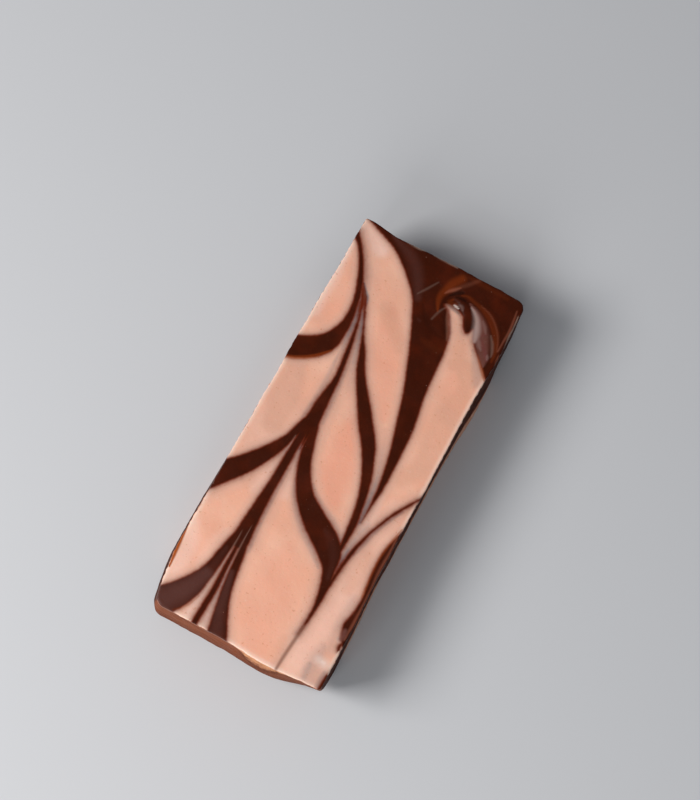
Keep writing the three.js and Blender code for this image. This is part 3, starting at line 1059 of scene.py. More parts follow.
    def attributes(self, x: Array, y: Array) -> dict[str, Array]:
        """All that the finish needs to know at places, by name."""
        names = ("tan", "vein", "amber", "copper", "shade", "mauve", "purple", "pale_film_and_highlight", "hairline_highlight", "bloom_and_sheen",
                 "salmon", "pale", "dull", "painted_highlight")
        soft = {name: strongest(getattr(self, name), x, y) for name in names}
        grey = np.maximum(self.film(x, y) * strongest(self.web, x, y), strongest(self.grey, x, y))
        return {"chocolate": np.clip(self.chocolate_distance(x, y), -4, 8), "grey": grey, **soft}


# ---------------------------------------------------------------------------------------------
# Finishes
# ---------------------------------------------------------------------------------------------


def linear(colour: Colour) -> tuple[float, float, float, float]:
    """A display colour, 0 to 255 each, as the linear colour with alpha that nodes take."""
    shares = np.array(colour) / 255
    plain = np.where(shares <= 0.04045, shares / 12.92, ((shares + 0.055) / 1.055) ** 2.4)
    return (*plain.tolist(), 1.0)


class Arithmetic(Enum):
    """Ways of putting two numbers together."""

    PLUS = "ADD"
    MINUS = "SUBTRACT"
    TIMES = "MULTIPLY"


class Graph:
    """A material's nodes, with a short method for each kind that the finishes use."""

    def __init__(self, name: str) -> None:
        """Makes an empty material with one Principled shader."""
        self.material = bpy.data.materials.new(name)
        self.material.use_nodes = True
        self.tree = self.material.node_tree
        self.tree.nodes.clear()
        self.shader = self.tree.nodes.new("ShaderNodeBsdfPrincipled")
        output = self.tree.nodes.new("ShaderNodeOutputMaterial")
        self.tree.links.new(self.shader.outputs["BSDF"], output.inputs["Surface"])
        self.place = self.tree.nodes.new("ShaderNodeTexCoord").outputs["Object"]

    def feed(self, socket: Socket, value: object) -> None:
        """Links a socket to another one, or sets its own value."""
        if isinstance(value, Socket):
            self.tree.links.new(value, socket)
        else:
            socket.default_value = value

    def attribute(self, name: str) -> Socket:
        """A number that the mesh carries."""
        node = self.tree.nodes.new("ShaderNodeAttribute")
        node.attribute_name = name
        return node.outputs["Fac"]

    def noise(self, size: float, detail: float = 2.0, stretch: tuple[float, float, float] = (1, 1, 1),
              roughness: float = 0.5) -> Socket:
        """Noise from 0 to 1.

        Args:
            size: Size of its features in millimetres.
            detail: How many finer layers it has.
            stretch: How many times longer the features are along x, y and z.
            roughness: How strong the finer layers are.

        Returns:
            The noise's value.
        """
        mapping = self.tree.nodes.new("ShaderNodeMapping")
        mapping.inputs["Scale"].default_value = tuple(1 / (MM * size * times) for times in stretch)
        self.tree.links.new(self.place, mapping.inputs["Vector"])
        node = self.tree.nodes.new("ShaderNodeTexNoise")
        self.tree.links.new(mapping.outputs["Vector"], node.inputs["Vector"])
        node.inputs["Scale"].default_value = 1.0
        node.inputs["Detail"].default_value = detail
        node.inputs["Roughness"].default_value = roughness
        return node.outputs["Fac"]

    def remap(self, value: object, low: float, high: float, to_low: float = 0.0,
              to_high: float = 1.0) -> Socket:
        """Takes low..high to to_low..to_high and holds it there."""
        node = self.tree.nodes.new("ShaderNodeMapRange")
        for key, number in (("Value", value), ("From Min", low), ("From Max", high), ("To Min", to_low),
                            ("To Max", to_high)):
            self.feed(node.inputs[key], number)
        return node.outputs["Result"]

    def math(self, operation: Arithmetic, first: object, second: object) -> Socket:
        """One arithmetic operation on two numbers."""
        node = self.tree.nodes.new("ShaderNodeMath")
        node.operation = operation.value
        self.feed(node.inputs[0], first)
        self.feed(node.inputs[1], second)
        return node.outputs["Value"]

    def plus(self, first: object, second: object) -> Socket:
        """The sum of two numbers."""
        return self.math(Arithmetic.PLUS, first, second)

    def minus(self, first: object, second: object) -> Socket:
        """The first number less the second."""
        return self.math(Arithmetic.MINUS, first, second)

    def times(self, first: object, second: object) -> Socket:
        """The product of two numbers."""
        return self.math(Arithmetic.TIMES, first, second)

    def mix(self, part: object, first: object, second: object) -> Socket:
        """Mixes two colours, given as sockets or display colours.

        Args:
            part: How much of the second there is.
            first: Colour at part 0.
            second: Colour at part 1.

        Returns:
            The mixed colour.
        """
        node = self.tree.nodes.new("ShaderNodeMix")
        node.data_type = "RGBA"
        self.feed(node.inputs["Factor"], part)
        for socket, colour in zip((node.inputs[6], node.inputs[7]), (first, second)):
            self.feed(socket, linear(colour) if isinstance(colour, tuple) else colour)
        return node.outputs[2]

    def ramp(self, value: object, stops: tuple[tuple[float, float], ...]) -> Socket:
        """A number that follows straight lines through (place, value) stops, places in rising order."""
        low, high = stops[0][0], stops[-1][0]
        node = self.tree.nodes.new("ShaderNodeValToRGB")
        self.tree.links.new(self.remap(value, low, high), node.inputs["Fac"])
        elements = node.color_ramp.elements
        while len(elements) < len(stops):
            elements.new(0.5)
        for element, (place, number) in zip(elements, stops):
            element.position = (place - low) / (high - low)
            element.color = (number, number, number, 1.0)
        return node.outputs["Color"]

    def bump(self, height: Socket, distance: float, normal: object = None) -> Socket:
        """Bumps of a height from 0 to 1 times `distance` millimetres."""
        node = self.tree.nodes.new("ShaderNodeBump")
        node.inputs["Strength"].default_value = 1.0
        node.inputs["Distance"].default_value = distance * MM
        self.feed(node.inputs["Height"], height)
        if normal is not None:
            self.feed(node.inputs["Normal"], normal)
        return node.outputs["Normal"]

    def finish(self, colour: object, roughness: object, normal: object,
               **constant: float) -> bpy.types.Material:
        """Feeds the shader and returns the material; `constant` numbers go on its own sockets."""
        self.feed(self.shader.inputs["Base Color"], colour)
        self.feed(self.shader.inputs["Roughness"], roughness)
        if normal is not None:
            self.feed(self.shader.inputs["Normal"], normal)
        for key, number in constant.items():
            self.shader.inputs[key.replace("_", " ")].default_value = number
        return self.material


@dataclass(frozen=True)
class MarbledFinish:
    """Pink fudge with chocolate drawn through it, and the crumbly fringe down its sides.

    Besides its colours it holds pink_share: the share of pink at distances from the chocolate.
    """

    pink: Colour = (238, 178, 152)
    pale_pink: Colour = (240, 187, 163)
    thin_pink: Colour = (222, 178, 160)
    salmon: Colour = (238, 167, 141)
    milky: Colour = (243, 200, 184)
    dull: Colour = (222, 166, 141)
    pinhole: Colour = (206, 142, 114)
    # Colour of the painted highlight along the outline.
    edge_highlight_pink: Colour = (246, 216, 200)
    fleck: Colour = (244, 210, 192)
    chocolate: Colour = (60, 18, 3)
    rim: Colour = (106, 34, 8)
    # Colour of the dusty bloom and painted sheen.
    bloom_and_sheen: Colour = (88, 52, 46)
    vein: Colour = (176, 136, 122)
    grey: Colour = (156, 141, 139)
    deep_grey: Colour = (104, 66, 56)
    tan: Colour = (134, 92, 76)
    amber: Colour = (116, 46, 12)
    lit_amber: Colour = (160, 78, 26)
    copper: Colour = (160, 94, 72)
    shade: Colour = (38, 13, 5)
    mauve: Colour = (114, 70, 62)
    purple: Colour = (112, 58, 56)
    pale_film_and_highlight: Colour = (182, 156, 150)
    hairline_highlight: Colour = (216, 188, 172)
    # Colour of the painted highlights.
    painted_highlight: Colour = (242, 224, 216)
    brown: Colour = (78, 40, 27)
    fringe: Colour = (184, 108, 66)
    end_brown: Colour = (138, 81, 56)
    torn: Colour = (220, 158, 122)
    pink_share: tuple[tuple[float, float], ...] = (
        (-0.5, 0.0), (-0.25, 0.03), (0.0, 0.22), (0.25, 0.48), (0.8, 0.8), (1.5, 0.95), (3.0, 1.0),
    )

    def pink_colour(self, graph: Graph, distance: Socket) -> Socket:
        """The pink fudge: mottled, redder in its lobes, paler and greyer over thin chocolate, with a painted
        highlight along the outline.

        Args:
            graph: The material's nodes.
            distance: Distance from the chocolate's edge.

        Returns:
            The colour.
        """
        colour = graph.mix(graph.remap(graph.noise(11.0, 4.0), 0.35, 0.65), self.pink, self.pale_pink)
        colour = graph.mix(graph.attribute("salmon"), colour, self.salmon)
        colour = graph.mix(graph.attribute("pale"), colour, self.milky)
        colour = graph.mix(graph.attribute("dull"), colour, self.dull)
        colour = graph.mix(graph.remap(distance, 3.0, 0.6, 0.0, 0.65), colour, self.thin_pink)
        flecks = graph.remap(graph.noise(0.7, 2.0), 0.66, 0.8, 0.0, 0.4)
        colour = graph.mix(flecks, colour, self.fleck)
        pinholes = graph.remap(graph.noise(0.8, 1.0), 0.3, 0.22, 0.0, 0.5)
        colour = graph.mix(pinholes, colour, self.pinhole)
        # Painted highlight: the pink turns lighter within 1.5 mm of the outline.
        painted_edge_highlight = graph.remap(graph.attribute("inwards"), 1.5, 0.2, 0.0, 0.75)
        colour = graph.mix(painted_edge_highlight, colour, self.edge_highlight_pink)
        patches = graph.remap(graph.noise(2.0, 3.0), 0.3, 0.7, 0.85, 1.15)
        grey = graph.times(graph.attribute("grey"), patches)
        colour = graph.mix(graph.remap(grey, 0, 1), colour, self.grey)
        return graph.mix(graph.remap(grey, 1.1, 2.1), colour, self.deep_grey)

    def dark_colour(self, graph: Graph, distance: Socket) -> Socket:
        """The chocolate: redder where it is thin, with its bloom and painted sheen, amber, and painted shade
        in its darker lines.

        Args:
            graph: The material's nodes.
            distance: Distance from the chocolate's edge.

        Returns:
            The colour.
        """
        colour = graph.mix(graph.remap(distance, -0.15, -0.65), self.rim, self.chocolate)
        clouds = graph.remap(graph.noise(6.0, 4.0), 0.45, 0.75, 0.0, 0.25)
        colour = graph.mix(clouds, colour, self.rim)
        inside = graph.remap(distance, 0.0, -0.4)
        # Dusty bloom and painted sheen over the chocolate.
        colour = graph.mix(graph.times(graph.attribute("bloom_and_sheen"), inside), colour, self.bloom_and_sheen)
        colour = graph.mix(graph.attribute("amber"), colour, self.amber)
        colour = graph.mix(graph.attribute("copper"), colour, self.copper)
        # Painted shade in the grooves.
        colour = graph.mix(graph.attribute("shade"), colour, self.shade)
        colour = graph.mix(graph.attribute("vein"), colour, self.vein)
        specks = graph.remap(graph.noise(0.9, 1.0), 0.79, 0.84, 0.0, 0.5)
        return graph.mix(specks, colour, self.vein)

    def face_colour(self, graph: Graph) -> Socket:
        """The marbled face's colour.

        The share of pink follows the distance from the chocolate's edge, and the films of the
        whorl lie over both.

        Args:
            graph: The material's nodes.

        Returns:
            The colour.
        """
        wander = graph.remap(graph.noise(1.6, 3.0), 0, 1, -0.2, 0.2)
        distance = graph.plus(graph.attribute("chocolate"), wander)
        dark, pink = self.dark_colour(graph, distance), self.pink_colour(graph, distance)
        colour = graph.mix(graph.ramp(distance, self.pink_share), dark, pink)
        lit = graph.times(graph.attribute("amber"), graph.remap(distance, -0.4, 0.3, 0.0, 0.85))
        colour = graph.mix(lit, colour, self.lit_amber)
        colour = graph.mix(graph.attribute("tan"), colour, self.tan)
        streaks = graph.noise(1.5, 3.0, (1, 3, 1))
        film = graph.times(graph.attribute("mauve"), graph.remap(streaks, 0.2, 0.5, 0.8, 1.0))
        colour = graph.mix(film, colour, self.mauve)
        colour = graph.mix(graph.attribute("purple"), colour, self.purple)
        # Painted highlight on the mauve film, and pale creases.
        colour = graph.mix(graph.attribute("pale_film_and_highlight"), colour, self.pale_film_and_highlight)
        # Painted highlights and pale scratches as fine lines.
        colour = graph.mix(graph.attribute("hairline_highlight"), colour, self.hairline_highlight)
        # Painted highlight over everything.
        return graph.mix(graph.attribute("painted_highlight"), colour, self.painted_highlight)

    def material(self) -> bpy.types.Material:
        """The finished material."""
        graph = Graph("marbled_topping_finish")
        dark = graph.remap(graph.attribute("chocolate"), 0.3, -0.3)
        end = graph.attribute("end")
        ragged = graph.remap(graph.noise(1.1, 3.0), 0.25, 0.75, -0.4, 0.4)
        level = graph.plus(graph.attribute("depth"), ragged)
        torn = graph.remap(graph.minus(graph.attribute("torn"), level), -0.3, 0.7)
        face_until = graph.plus(graph.remap(end, 0, 1, 0.45, 0.35), graph.times(torn, 0.2))
        below = graph.minus(level, face_until)
        fringe = graph.mix(dark, self.fringe, self.brown)
        under = graph.mix(end, self.brown, graph.mix(torn, self.end_brown, self.torn))
        side = graph.mix(graph.remap(below, 0.1, 0.4), fringe, under)
        colour = graph.mix(graph.remap(below, -0.2, 0.2), self.face_colour(graph), side)
        rough = graph.remap(dark, 0, 1, 0.45, 0.36)
        # Painted shade, painted highlight and the mauve film are glossier.
        for name in ("shade", "painted_highlight", "mauve"):
            rough = graph.minus(rough, graph.times(graph.attribute(name), 0.12))
        rough = graph.plus(rough, graph.remap(graph.noise(4.0, 3.0), 0.3, 0.7, -0.05, 0.05))
        fine = graph.bump(graph.noise(0.9, 3.0), 0.035)
        normal = graph.bump(graph.noise(5.0, 3.0), 0.12, fine)
        return graph.finish(colour, rough, normal, Specular_IOR_Level=0.13, Subsurface_Weight=0.08,
                            Subsurface_Scale=0.001)


@dataclass(frozen=True)
class ChocolateFinish:
    """Knife-cut chocolate fudge: matte, with drag marks, pale crumbs, and smoother, paler ends."""

    cut: Colour = (70, 32, 20)
    cut_pale: Colour = (86, 43, 29)
    cut_dark: Colour = (50, 22, 13)
    end: Colour = (142, 82, 55)
    end_dark: Colour = (122, 66, 42)
    end_low: Colour = (114, 60, 38)
    end_shade: Colour = (104, 54, 31)
    crumb: Colour = (150, 96, 70)
    blend: Colour = (112, 44, 16)
    torn: Colour = (216, 154, 112)
    torn_low: Colour = (168, 110, 80)

    def material(self) -> bpy.types.Material:
        """The finished material."""
        graph = Graph("chocolate_body_finish")
        drag = graph.noise(1.1, 4.0, (1, 1, 9))
        cloud = graph.noise(7.0, 4.0)
        colour = graph.mix(graph.remap(drag, 0.35, 0.7), self.cut, self.cut_pale)
        colour = graph.mix(graph.remap(cloud, 0.45, 0.7, 0.0, 0.8), colour, self.cut_dark)
        crumbs = graph.remap(graph.noise(1.3, 2.0), 0.7, 0.76, 0.0, 0.55)
        colour = graph.mix(crumbs, colour, self.crumb)
        streak = graph.noise(2.4, 4.0, (9, 9, 1))
        end_colour = graph.mix(graph.remap(streak, 0.35, 0.65), self.end_dark, self.end)
        low = graph.remap(graph.attribute("depth"), 8.0, 17.0, 0.0, 0.85)
        end_colour = graph.mix(low, end_colour, self.end_low)
        colour = graph.mix(graph.attribute("end"), colour, end_colour)
        wander = graph.remap(graph.noise(1.6, 3.0), 0, 1, -0.5, 0.5)
        above = graph.plus(graph.attribute("interface"), wander)
        colour = graph.mix(graph.remap(above, 2.0, 0.0, 0.0, 0.85), colour, self.blend)
        ragged = graph.remap(graph.noise(1.8, 3.0), 0.3, 0.7, -1.5, 1.5)
        level = graph.plus(graph.attribute("depth"), ragged)
        past_torn = graph.minus(level, graph.attribute("torn"))
        band = graph.times(graph.remap(past_torn, -1, 1), graph.remap(past_torn, 7, 2))
        under_torn = graph.times(graph.remap(graph.attribute("torn"), 1.5, 4.0), band)
        colour = graph.mix(under_torn, colour, self.end_shade)
        patches = graph.remap(graph.noise(1.8, 3.0), 0.42, 0.6, 1.0, 0.6)
        torn_colour = graph.mix(graph.remap(level, 3.0, 9.5), self.torn, self.torn_low)
        torn = graph.times(graph.remap(past_torn, 1.0, -1.5), patches)
        colour = graph.mix(torn, colour, torn_colour)
        rough = graph.remap(graph.noise(2.0, 3.0), 0.3, 0.7, 0.55, 0.72)
        rough = graph.minus(rough, graph.times(graph.attribute("end"), 0.1))
        fine = graph.bump(graph.noise(0.7, 4.0, roughness=0.6), 0.1)
        normal = graph.bump(drag, 0.16, fine)
        return graph.finish(colour, rough, normal, Specular_IOR_Level=0.03)


@dataclass(frozen=True)
class BaseLayerFinish:
    """Knife-cut pink fudge that blends to orange brown under the chocolate."""

    peach: Colour = (214, 152, 120)
    peach_pale: Colour = (224, 172, 146)
    orange: Colour = (170, 92, 50)
    brown: Colour = (118, 50, 22)

    def material(self) -> bpy.types.Material:
        """The finished material."""
        graph = Graph("pink_base_layer_finish")
        below = graph.minus(0.0, graph.attribute("interface"))
        below = graph.plus(below, graph.remap(graph.noise(1.6, 3.0), 0, 1, -0.5, 0.5))
        mottle = graph.remap(graph.noise(3.5, 4.0), 0.35, 0.65)
        colour = graph.mix(mottle, self.peach, self.peach_pale)
        colour = graph.mix(graph.remap(below, 3.2, 1.0), colour, self.orange)
        colour = graph.mix(graph.remap(below, 1.1, 0.0), colour, self.brown)
        rough = graph.remap(graph.noise(2.0, 3.0), 0.3, 0.7, 0.55, 0.7)
        fine = graph.bump(graph.noise(0.8, 4.0), 0.08)
        normal = graph.bump(graph.noise(1.3, 3.0, (1, 1, 6)), 0.14, fine)
        return graph.finish(colour, rough, normal, Specular_IOR_Level=0.35, Subsurface_Weight=0.06,
                            Subsurface_Scale=0.001)


@dataclass(frozen=True)
class FloorFinish:
    """A plain pale grey table."""

    grey: Colour = (202, 206, 212)

    def material(self) -> bpy.types.Material:
        """The finished material."""
        graph = Graph("floor_finish")
        return graph.finish(linear(self.grey), 0.6, None)


# ---------------------------------------------------------------------------------------------
# The slice's three layers
# ---------------------------------------------------------------------------------------------


@dataclass
class Layer:
    """A layer of the slice: a block that is bent to its place.

    The block's three directions are s, along the layer, t, from its inner or lower face to its
    outer or upper one, and x, across the slice.

    Attributes:
        outline: The slice's outer surface.
        surface: The surface's unevenness.
        profile: The top of the base layer.
        name: Name of the piece.
        node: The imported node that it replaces.
        torn_depth: How deep the pink is torn down the near end at its deepest.
        torn_middle: Where across the slice it is deepest.
        torn_width: How far across it reaches.
        across: Distances in from both sides that get a grid line of their own.
        across_step: Distance between the other grid lines across the slice.
        end_fade: Distances from an end at which it starts to look like one, and fully does.
        interface_stride: Every how many points of the base layer's profile one is used to measure
            the distance from it.
        interface_reach: Greatest distance from it that is told apart.
    """

    outline: Outline
    surface: Surface
    profile: BaseProfile
    _: KW_ONLY
    name: str = "layer"
    node: str = "layer"
    torn_depth: float = 10.5
    torn_middle: float = 8.6
    torn_width: float = 5.9
    across: tuple[float, ...] = (0.25, 0.5, 0.85, 1.3, 1.9, 2.6, 3.4)
    across_step: float = 1.1
    end_fade: tuple[float, float] = (1.6, 0.1)
    interface_stride: int = 6
    interface_reach: float = 9.0

    def plain(self, s: Array, t: Array, x: Array) -> tuple[Array, Array, Array]:
        """The plain box's x, y and z of a place in the block."""
        raise NotImplementedError

    def columns(self) -> Array:
        """The x places of the block's grids."""
        half = self.outline.half_width
        return graded(-half, half, self.across_step, self.across)

    def sew(self, s: Array, t: Array, x: Array, fan_below: bool = False) -> tuple[Array, Array]:
        """Sews the block's six faces together.

        Args:
            s: Places of the grid lines along the layer.
            t: Places of the grid lines from the lower face to the upper one.
            x: Places of the grid lines across the slice.
            fan_below: Whether the lower face is a fan of triangles instead of a grid.

        Returns:
            The plain box's points, and the triangles.
        """
        sewing = Sewing()
        sewing.grid(*self.plain(s[:, None], t[None, :], x[-1]))
        sewing.grid(*self.plain(s[None, :], t[:, None], x[0]))
        sewing.grid(*self.plain(s[None, :], t[-1], x[:, None]))
        sewing.grid(*self.plain(s[0], t[None, :], x[:, None]))
        sewing.grid(*self.plain(s[-1], t[:, None], x[None, :]))
        if fan_below:
            near = self.plain(s[0], t[0], x[:-1])
            right = self.plain(s[:-1], t[0], x[-1])
            far = self.plain(s[-1], t[0], x[:0:-1])
            left = self.plain(s[:0:-1], t[0], x[0])
            sides = [np.stack(np.broadcast_arrays(*side), axis=-1) for side in (near, right, far, left)]
            loop = np.vstack(sides)[::-1]
            sewing.fan(loop, tuple(loop.mean(axis=0)))
        else:
            sewing.grid(*self.plain(s[:, None], t[0], x[None, :]))
        return sewing.sewn()

    def attributes(self, plain: Array, real: Array) -> dict[str, Array]:
        """What every layer's finish may ask for.

        Args:
            plain: The plain box's points.
            real: The real points.

        Returns:
            depth: millimetres under the marbled face; inwards: millimetres from the slice's
            outline; end: 1 on an end and 0 on a cut side; torn: how deep the pink is torn down the
            near end, in millimetres; interface: millimetres from the base layer's top, negative
            inside the base layer.
        """
        outline, reach = self.outline, self.interface_reach
        end = smoothstep(outline.half_length - np.abs(plain[:, 1]), *self.end_fade)
        path = self.profile.path()
        line = Stroke(tuple((y, z, 0.0) for y, z in path[:: self.interface_stride]), steps=1)
        away = line.distance(real[:, 1], real[:, 2])
        top = np.interp(real[:, 1], path[:, 0], path[:, 1], left=-1.0, right=-1.0)
        inside = real[:, 2] < top
        return {
            "depth": outline.thickness - plain[:, 2],
            "inwards": outline.edge_distance(plain[:, 0], plain[:, 1]),
            "end": end,
            "torn": self.torn_depth * end * (plain[:, 1] < 0)
            * swelling(plain[:, 0], self.torn_middle, self.torn_width),
            "interface": np.clip(np.where(inside, -away, away), -reach, reach),
        }

    def dress(self, plain: Array, triangles: Array, real: Array, extra: dict[str, Array],
              finish: bpy.types.Material) -> bpy.types.Object:
        """Makes the layer's piece, dresses it and ties it to the frame.

        Args:
            plain: The plain box's points.
            triangles: Rows of three point numbers.
            real: The real points.
            extra: Further numbers for each point, by name.
            finish: The material.

        Returns:
            The piece.
        """
        piece = make_mesh(self.name, real, triangles, {**self.attributes(plain, real), **extra})
        piece.data.materials.append(finish)
        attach(piece, "root")
        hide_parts(self.node)
        log.info("%s: %d points, %d triangles", self.name, len(real), len(triangles))
        return piece


@dataclass(kw_only=True)
class MarbledTopping(Layer):
    """The thin marbled layer on top.

    Attributes:
        underside: Height of its lower face.
        marbling: Its strokes and smears.
        finish: Its material.
        along_step: Distance between grid lines along the slice.
        depths: Depths of the grid lines on its walls, above the lowest.
    """

    underside: float
    marbling: Marbling = field(default_factory=Marbling)
    finish: MarbledFinish = field(default_factory=MarbledFinish)
    name: str = "fudge_topping"
    node: str = "marbled_topping"
    across: tuple[float, ...] = (0.12, 0.25, 0.4)
    across_step: float = 0.27
    along_step: float = 0.4
    depths: tuple[float, ...] = (1.3, 1.0, 0.7, 0.4, 0.25, 0.12, 0.0)

    def plain(self, s: Array, t: Array, x: Array) -> tuple[Array, Array, Array]:
        """The block as it is: s is y and t is z."""
        return x, s, t

    def build(self) -> bpy.types.Object:
        """Builds the layer, its face relief and its marbling."""
        outline = self.outline
        s = graded(-outline.half_length, outline.half_length, self.along_step, self.across)
        t = outline.thickness - np.array((outline.thickness - self.underside, *self.depths))
        plain, triangles = self.sew(s, t, self.columns(), fan_below=True)
        flat = outline.place(*plain.T)
        relief = self.marbling.relief(flat[:, 0], flat[:, 1])
        real = self.surface.place(*plain.T, face=relief)
        extra = self.marbling.attributes(flat[:, 0], flat[:, 1])
        return self.dress(plain, triangles, real, extra, self.finish.material())


@dataclass(kw_only=True)
class PinkBaseLayer(Layer):
    """The pink layer at the bottom, which stops short of both ends in a rounded nose.

    Attributes:
        finish: Its material.
        along_step: Distance between grid lines along the slice.
        low_heights: Heights of the grid lines on its walls near the underside.
        wall_lines: How many grid lines go on from the highest of these to the top.
    """

    finish: BaseLayerFinish = field(default_factory=BaseLayerFinish)
    name: str = "fudge_base_layer"
    node: str = "pink_base_layer"
    along_step: float = 0.55
    low_heights: tuple[float, ...] = (0.0, 0.15, 0.35, 0.6)
    wall_lines: int = 13

    def plain(self, s: Array, t: Array, x: Array) -> tuple[Array, Array, Array]:
        """Between the underside at t 0 and the profile at t 1, straight across from one to the other."""
        profile = self.profile
        top_y, top_z = profile.at(s)
        y = lerp(lerp(profile.near_nose, profile.far_nose, s), top_y, t)
        z = top_z * t
        x, y, z = np.broadcast_arrays(x, y, z)
        return x, self.outline.plain_y(x, y, z), z

    def build(self) -> bpy.types.Object:
        """Builds the layer."""
        length = self.profile.far_nose - self.profile.near_nose
        s = np.linspace(0, 1, round(length / self.along_step) + 1)
        low = np.array(self.low_heights) / self.profile.height
        t = np.concatenate([low, np.linspace(low[-1], 1, self.wall_lines + 1)[1:]])
        plain, triangles = self.sew(s, t, self.columns())
        return self.dress(plain, triangles, self.surface.place(*plain.T), {}, self.finish.material())


@dataclass(kw_only=True)
class ChocolateBody(Layer):
    """The thick chocolate layer, an arch over the base layer with a foot at each end.

    Attributes:
        top: Height of its upper face.
        finish: Its material.
        nose_part: Part of the base layer's profile that faces each leg of the arch.
        step: Distance between grid lines.
        round_points: Points on an end's rounding when its length is measured.
    """

    top: float
    finish: ChocolateFinish = field(default_factory=ChocolateFinish)
    nose_part: float = 0.075
    name: str = "fudge_body"
    node: str = "chocolate_body"
    step: float = 0.55
    round_points: int = 40

    def leg_height(self, part: Array, round_length: float) -> Array:
        """Height that lies `part` of the way up an end, measured along its rounding and its wall."""
        turn = np.linspace(0, math.pi / 2, self.round_points)
        high = self.outline.round_height
        z = np.concatenate([high * (1 - np.cos(turn)), [self.top]])
        y = np.concatenate([-round_length * np.sin(turn), [-round_length]])
        length = np.concatenate([[0], np.cumsum(np.hypot(np.diff(y), np.diff(z)))])
        return np.interp(part * length[-1], length, z)

    def plain(self, s: Array, t: Array, x: Array) -> tuple[Array, Array, Array]:
        """Bends the block into an arch.

        s from 0 to 1 goes up the near end, to 2 along the top and to 3 down the far end. At t 0
        lies the base layer's profile, at t 1 the slice's outer surface, and between them points
        go straight across.

        Args:
            s: Places along the arch.
            t: Places from its inner face to its outer one.
            x: Places across the slice.

        Returns:
            The plain box's x, y and z.
        """
        outline, nose = self.outline, self.nose_part
        near_z = self.leg_height(np.clip(s, 0, 1), outline.near_round)
        far_z = self.leg_height(np.clip(3 - s, 0, 1), outline.far_round)
        outer_z = np.where(s < 1, near_z, np.where(s > 2, far_z, self.top))
        outer_y = outline.half_length * (2 * np.clip(s - 1, 0, 1) - 1)
        inner_y, inner_z = self.profile.at(np.interp(s, (0, 1, 2, 3), (0, nose, 1 - nose, 1)))
        x, inner_y, inner_z = np.broadcast_arrays(x, inner_y, inner_z)
        inner_y = outline.plain_y(x, inner_y, inner_z)
        y, z = lerp(inner_y, outer_y, t), lerp(inner_z, outer_z, t)
        return np.broadcast_arrays(x, y, z)

    def build(self) -> bpy.types.Object:
        """Builds the layer."""
        outline = self.outline
        leg = round((self.top + outline.near_round) / self.step)
        top = round(2 * outline.half_length / self.step)
        up, down = np.linspace(0, 1, leg + 1), np.linspace(2, 3, leg + 1)[1:]
        s = np.concatenate([up, np.linspace(1, 2, top + 1)[1:], down])
        t = np.linspace(0, 1, round((self.top - self.profile.height) / self.step) + 1)
        plain, triangles = self.sew(s, t, self.columns())
        return self.dress(plain, triangles, self.surface.place(*plain.T), {}, self.finish.material())


# ---------------------------------------------------------------------------------------------
# The studio
# ---------------------------------------------------------------------------------------------


@dataclass(frozen=True)
class SoftLight:
    """A soft square light that faces the slice.

    Attributes:
        name: Its name.
        place: Where it stands.
        size: Its width.
        power: Its power in watts.
        colour: Its colour.
    """

    name: str
    place: tuple[float, float, float]
    size: float
    power: float
    colour: Colour

    def build(self) -> None:
        """Sets it up."""
        data = bpy.data.lights.new(self.name, "AREA")
        data.size = self.size * MM
        data.energy = self.power
        data.color = linear(self.colour)[:3]
        light = bpy.data.objects.new(self.name, data)
        light.location = Vector(self.place) * MM
        light.rotation_euler = (-Vector(self.place)).to_track_quat("-Z", "Y").to_euler()
        bpy.context.scene.collection.objects.link(light)


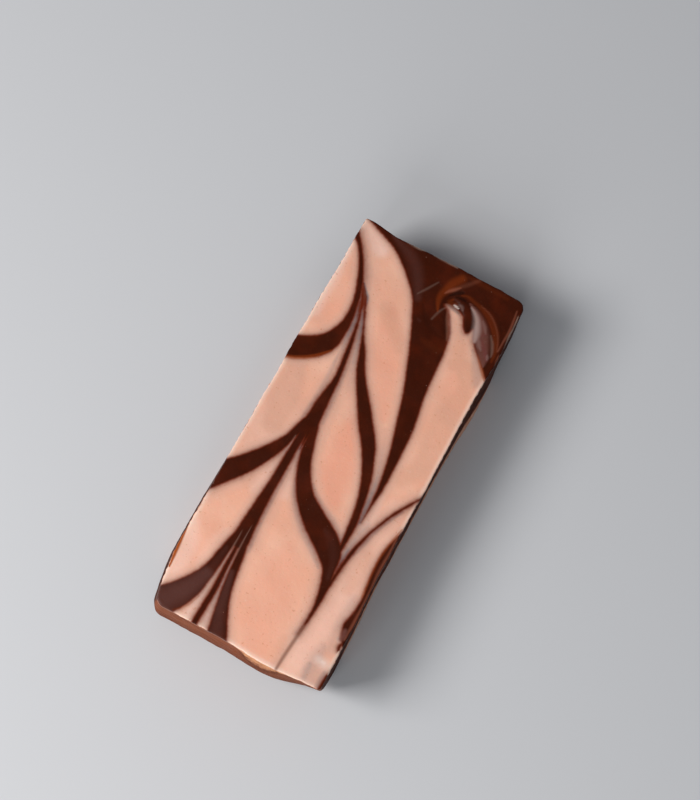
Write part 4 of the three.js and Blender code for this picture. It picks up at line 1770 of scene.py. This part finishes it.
@dataclass(frozen=True)
class Studio:
    """A plain pale floor, soft light from the left and front, and the camera.

    Attributes:
        target: Point that the camera looks at.
        azimuth: The camera's turn round the slice, in degrees.
        elevation: Its height above the horizon, in degrees.
        distance: Its distance from the target.
        lens: Its focal length.
        floor_half: Half the floor's width.
        floor_drop: How far the floor lies under the slice.
        lights: Its lights.
        sky_colour: Colour of the even light from all round.
        sky_strength: Strength of that light.
    """

    target: tuple[float, float, float] = (-3.8, 14.6, 25.0)
    azimuth: float = 28.4
    elevation: float = 74.0
    distance: float = 687.0
    lens: float = 100.0
    floor_half: float = 1500.0
    floor_drop: float = 0.05
    lights: tuple[SoftLight, ...] = (
        SoftLight("key", place=(-600, -440, 740), size=500, power=9.4, colour=(255, 250, 245)),
        SoftLight("front", place=(60, -760, 440), size=450, power=2.6, colour=(255, 252, 248)),
    )
    sky_colour: Colour = (250, 251, 255)
    sky_strength: float = 0.19

    def floor(self) -> None:
        """A square floor under the slice."""
        half, low = self.floor_half, -self.floor_drop
        mesh = bpy.data.meshes.new("floor")
        corners = [(-half, -half, low), (half, -half, low), (half, half, low), (-half, half, low)]
        mesh.from_pydata([tuple(MM * value for value in corner) for corner in corners], [], [(0, 1, 2, 3)])
        floor = bpy.data.objects.new("floor", mesh)
        bpy.context.scene.collection.objects.link(floor)
        mesh.materials.append(FloorFinish().material())

    def camera(self) -> None:
        """The camera, at the photograph's viewing angle."""
        turn, rise = math.radians(self.azimuth), math.radians(self.elevation)
        back = Vector((math.sin(turn) * math.cos(rise), -math.cos(turn) * math.cos(rise), math.sin(rise)))
        data = bpy.data.cameras.new("camera")
        data.lens = self.lens
        camera = bpy.data.objects.new("camera", data)
        camera.location = (Vector(self.target) + back * self.distance) * MM
        camera.rotation_euler = back.to_track_quat("Z", "Y").to_euler()
        bpy.context.scene.collection.objects.link(camera)
        bpy.context.scene.camera = camera

    def sky(self) -> None:
        """Even light from all round."""
        world = bpy.data.worlds.new("studio")
        world.use_nodes = True
        background = world.node_tree.nodes["Background"]
        background.inputs["Color"].default_value = linear(self.sky_colour)
        background.inputs["Strength"].default_value = self.sky_strength
        bpy.context.scene.world = world

    def build(self) -> None:
        """Sets up the whole studio."""
        self.floor()
        for light in self.lights:
            light.build()
        self.sky()
        self.camera()
        bpy.context.scene.view_settings.view_transform = "Standard"


def box_millimetres(node: str) -> tuple[Array, Array]:
    """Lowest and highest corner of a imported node, in millimetres."""
    low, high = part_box(node)
    return np.array(low) / MM, np.array(high) / MM


def main() -> None:
    logging.basicConfig(level=logging.INFO, format="%(message)s")
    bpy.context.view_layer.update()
    topping_low, topping_high = box_millimetres("marbled_topping")
    outline = Outline(thickness=float(topping_high[2]))
    surface = Surface(outline)
    profile = BaseProfile()
    underside = float(topping_low[2])
    PinkBaseLayer(outline, surface, profile).build()
    ChocolateBody(outline, surface, profile, top=underside).build()
    MarbledTopping(outline, surface, profile, underside=underside).build()
    Studio().build()
    log.info("studio: floor, lights and camera")


if __name__ == "__main__":
    main()
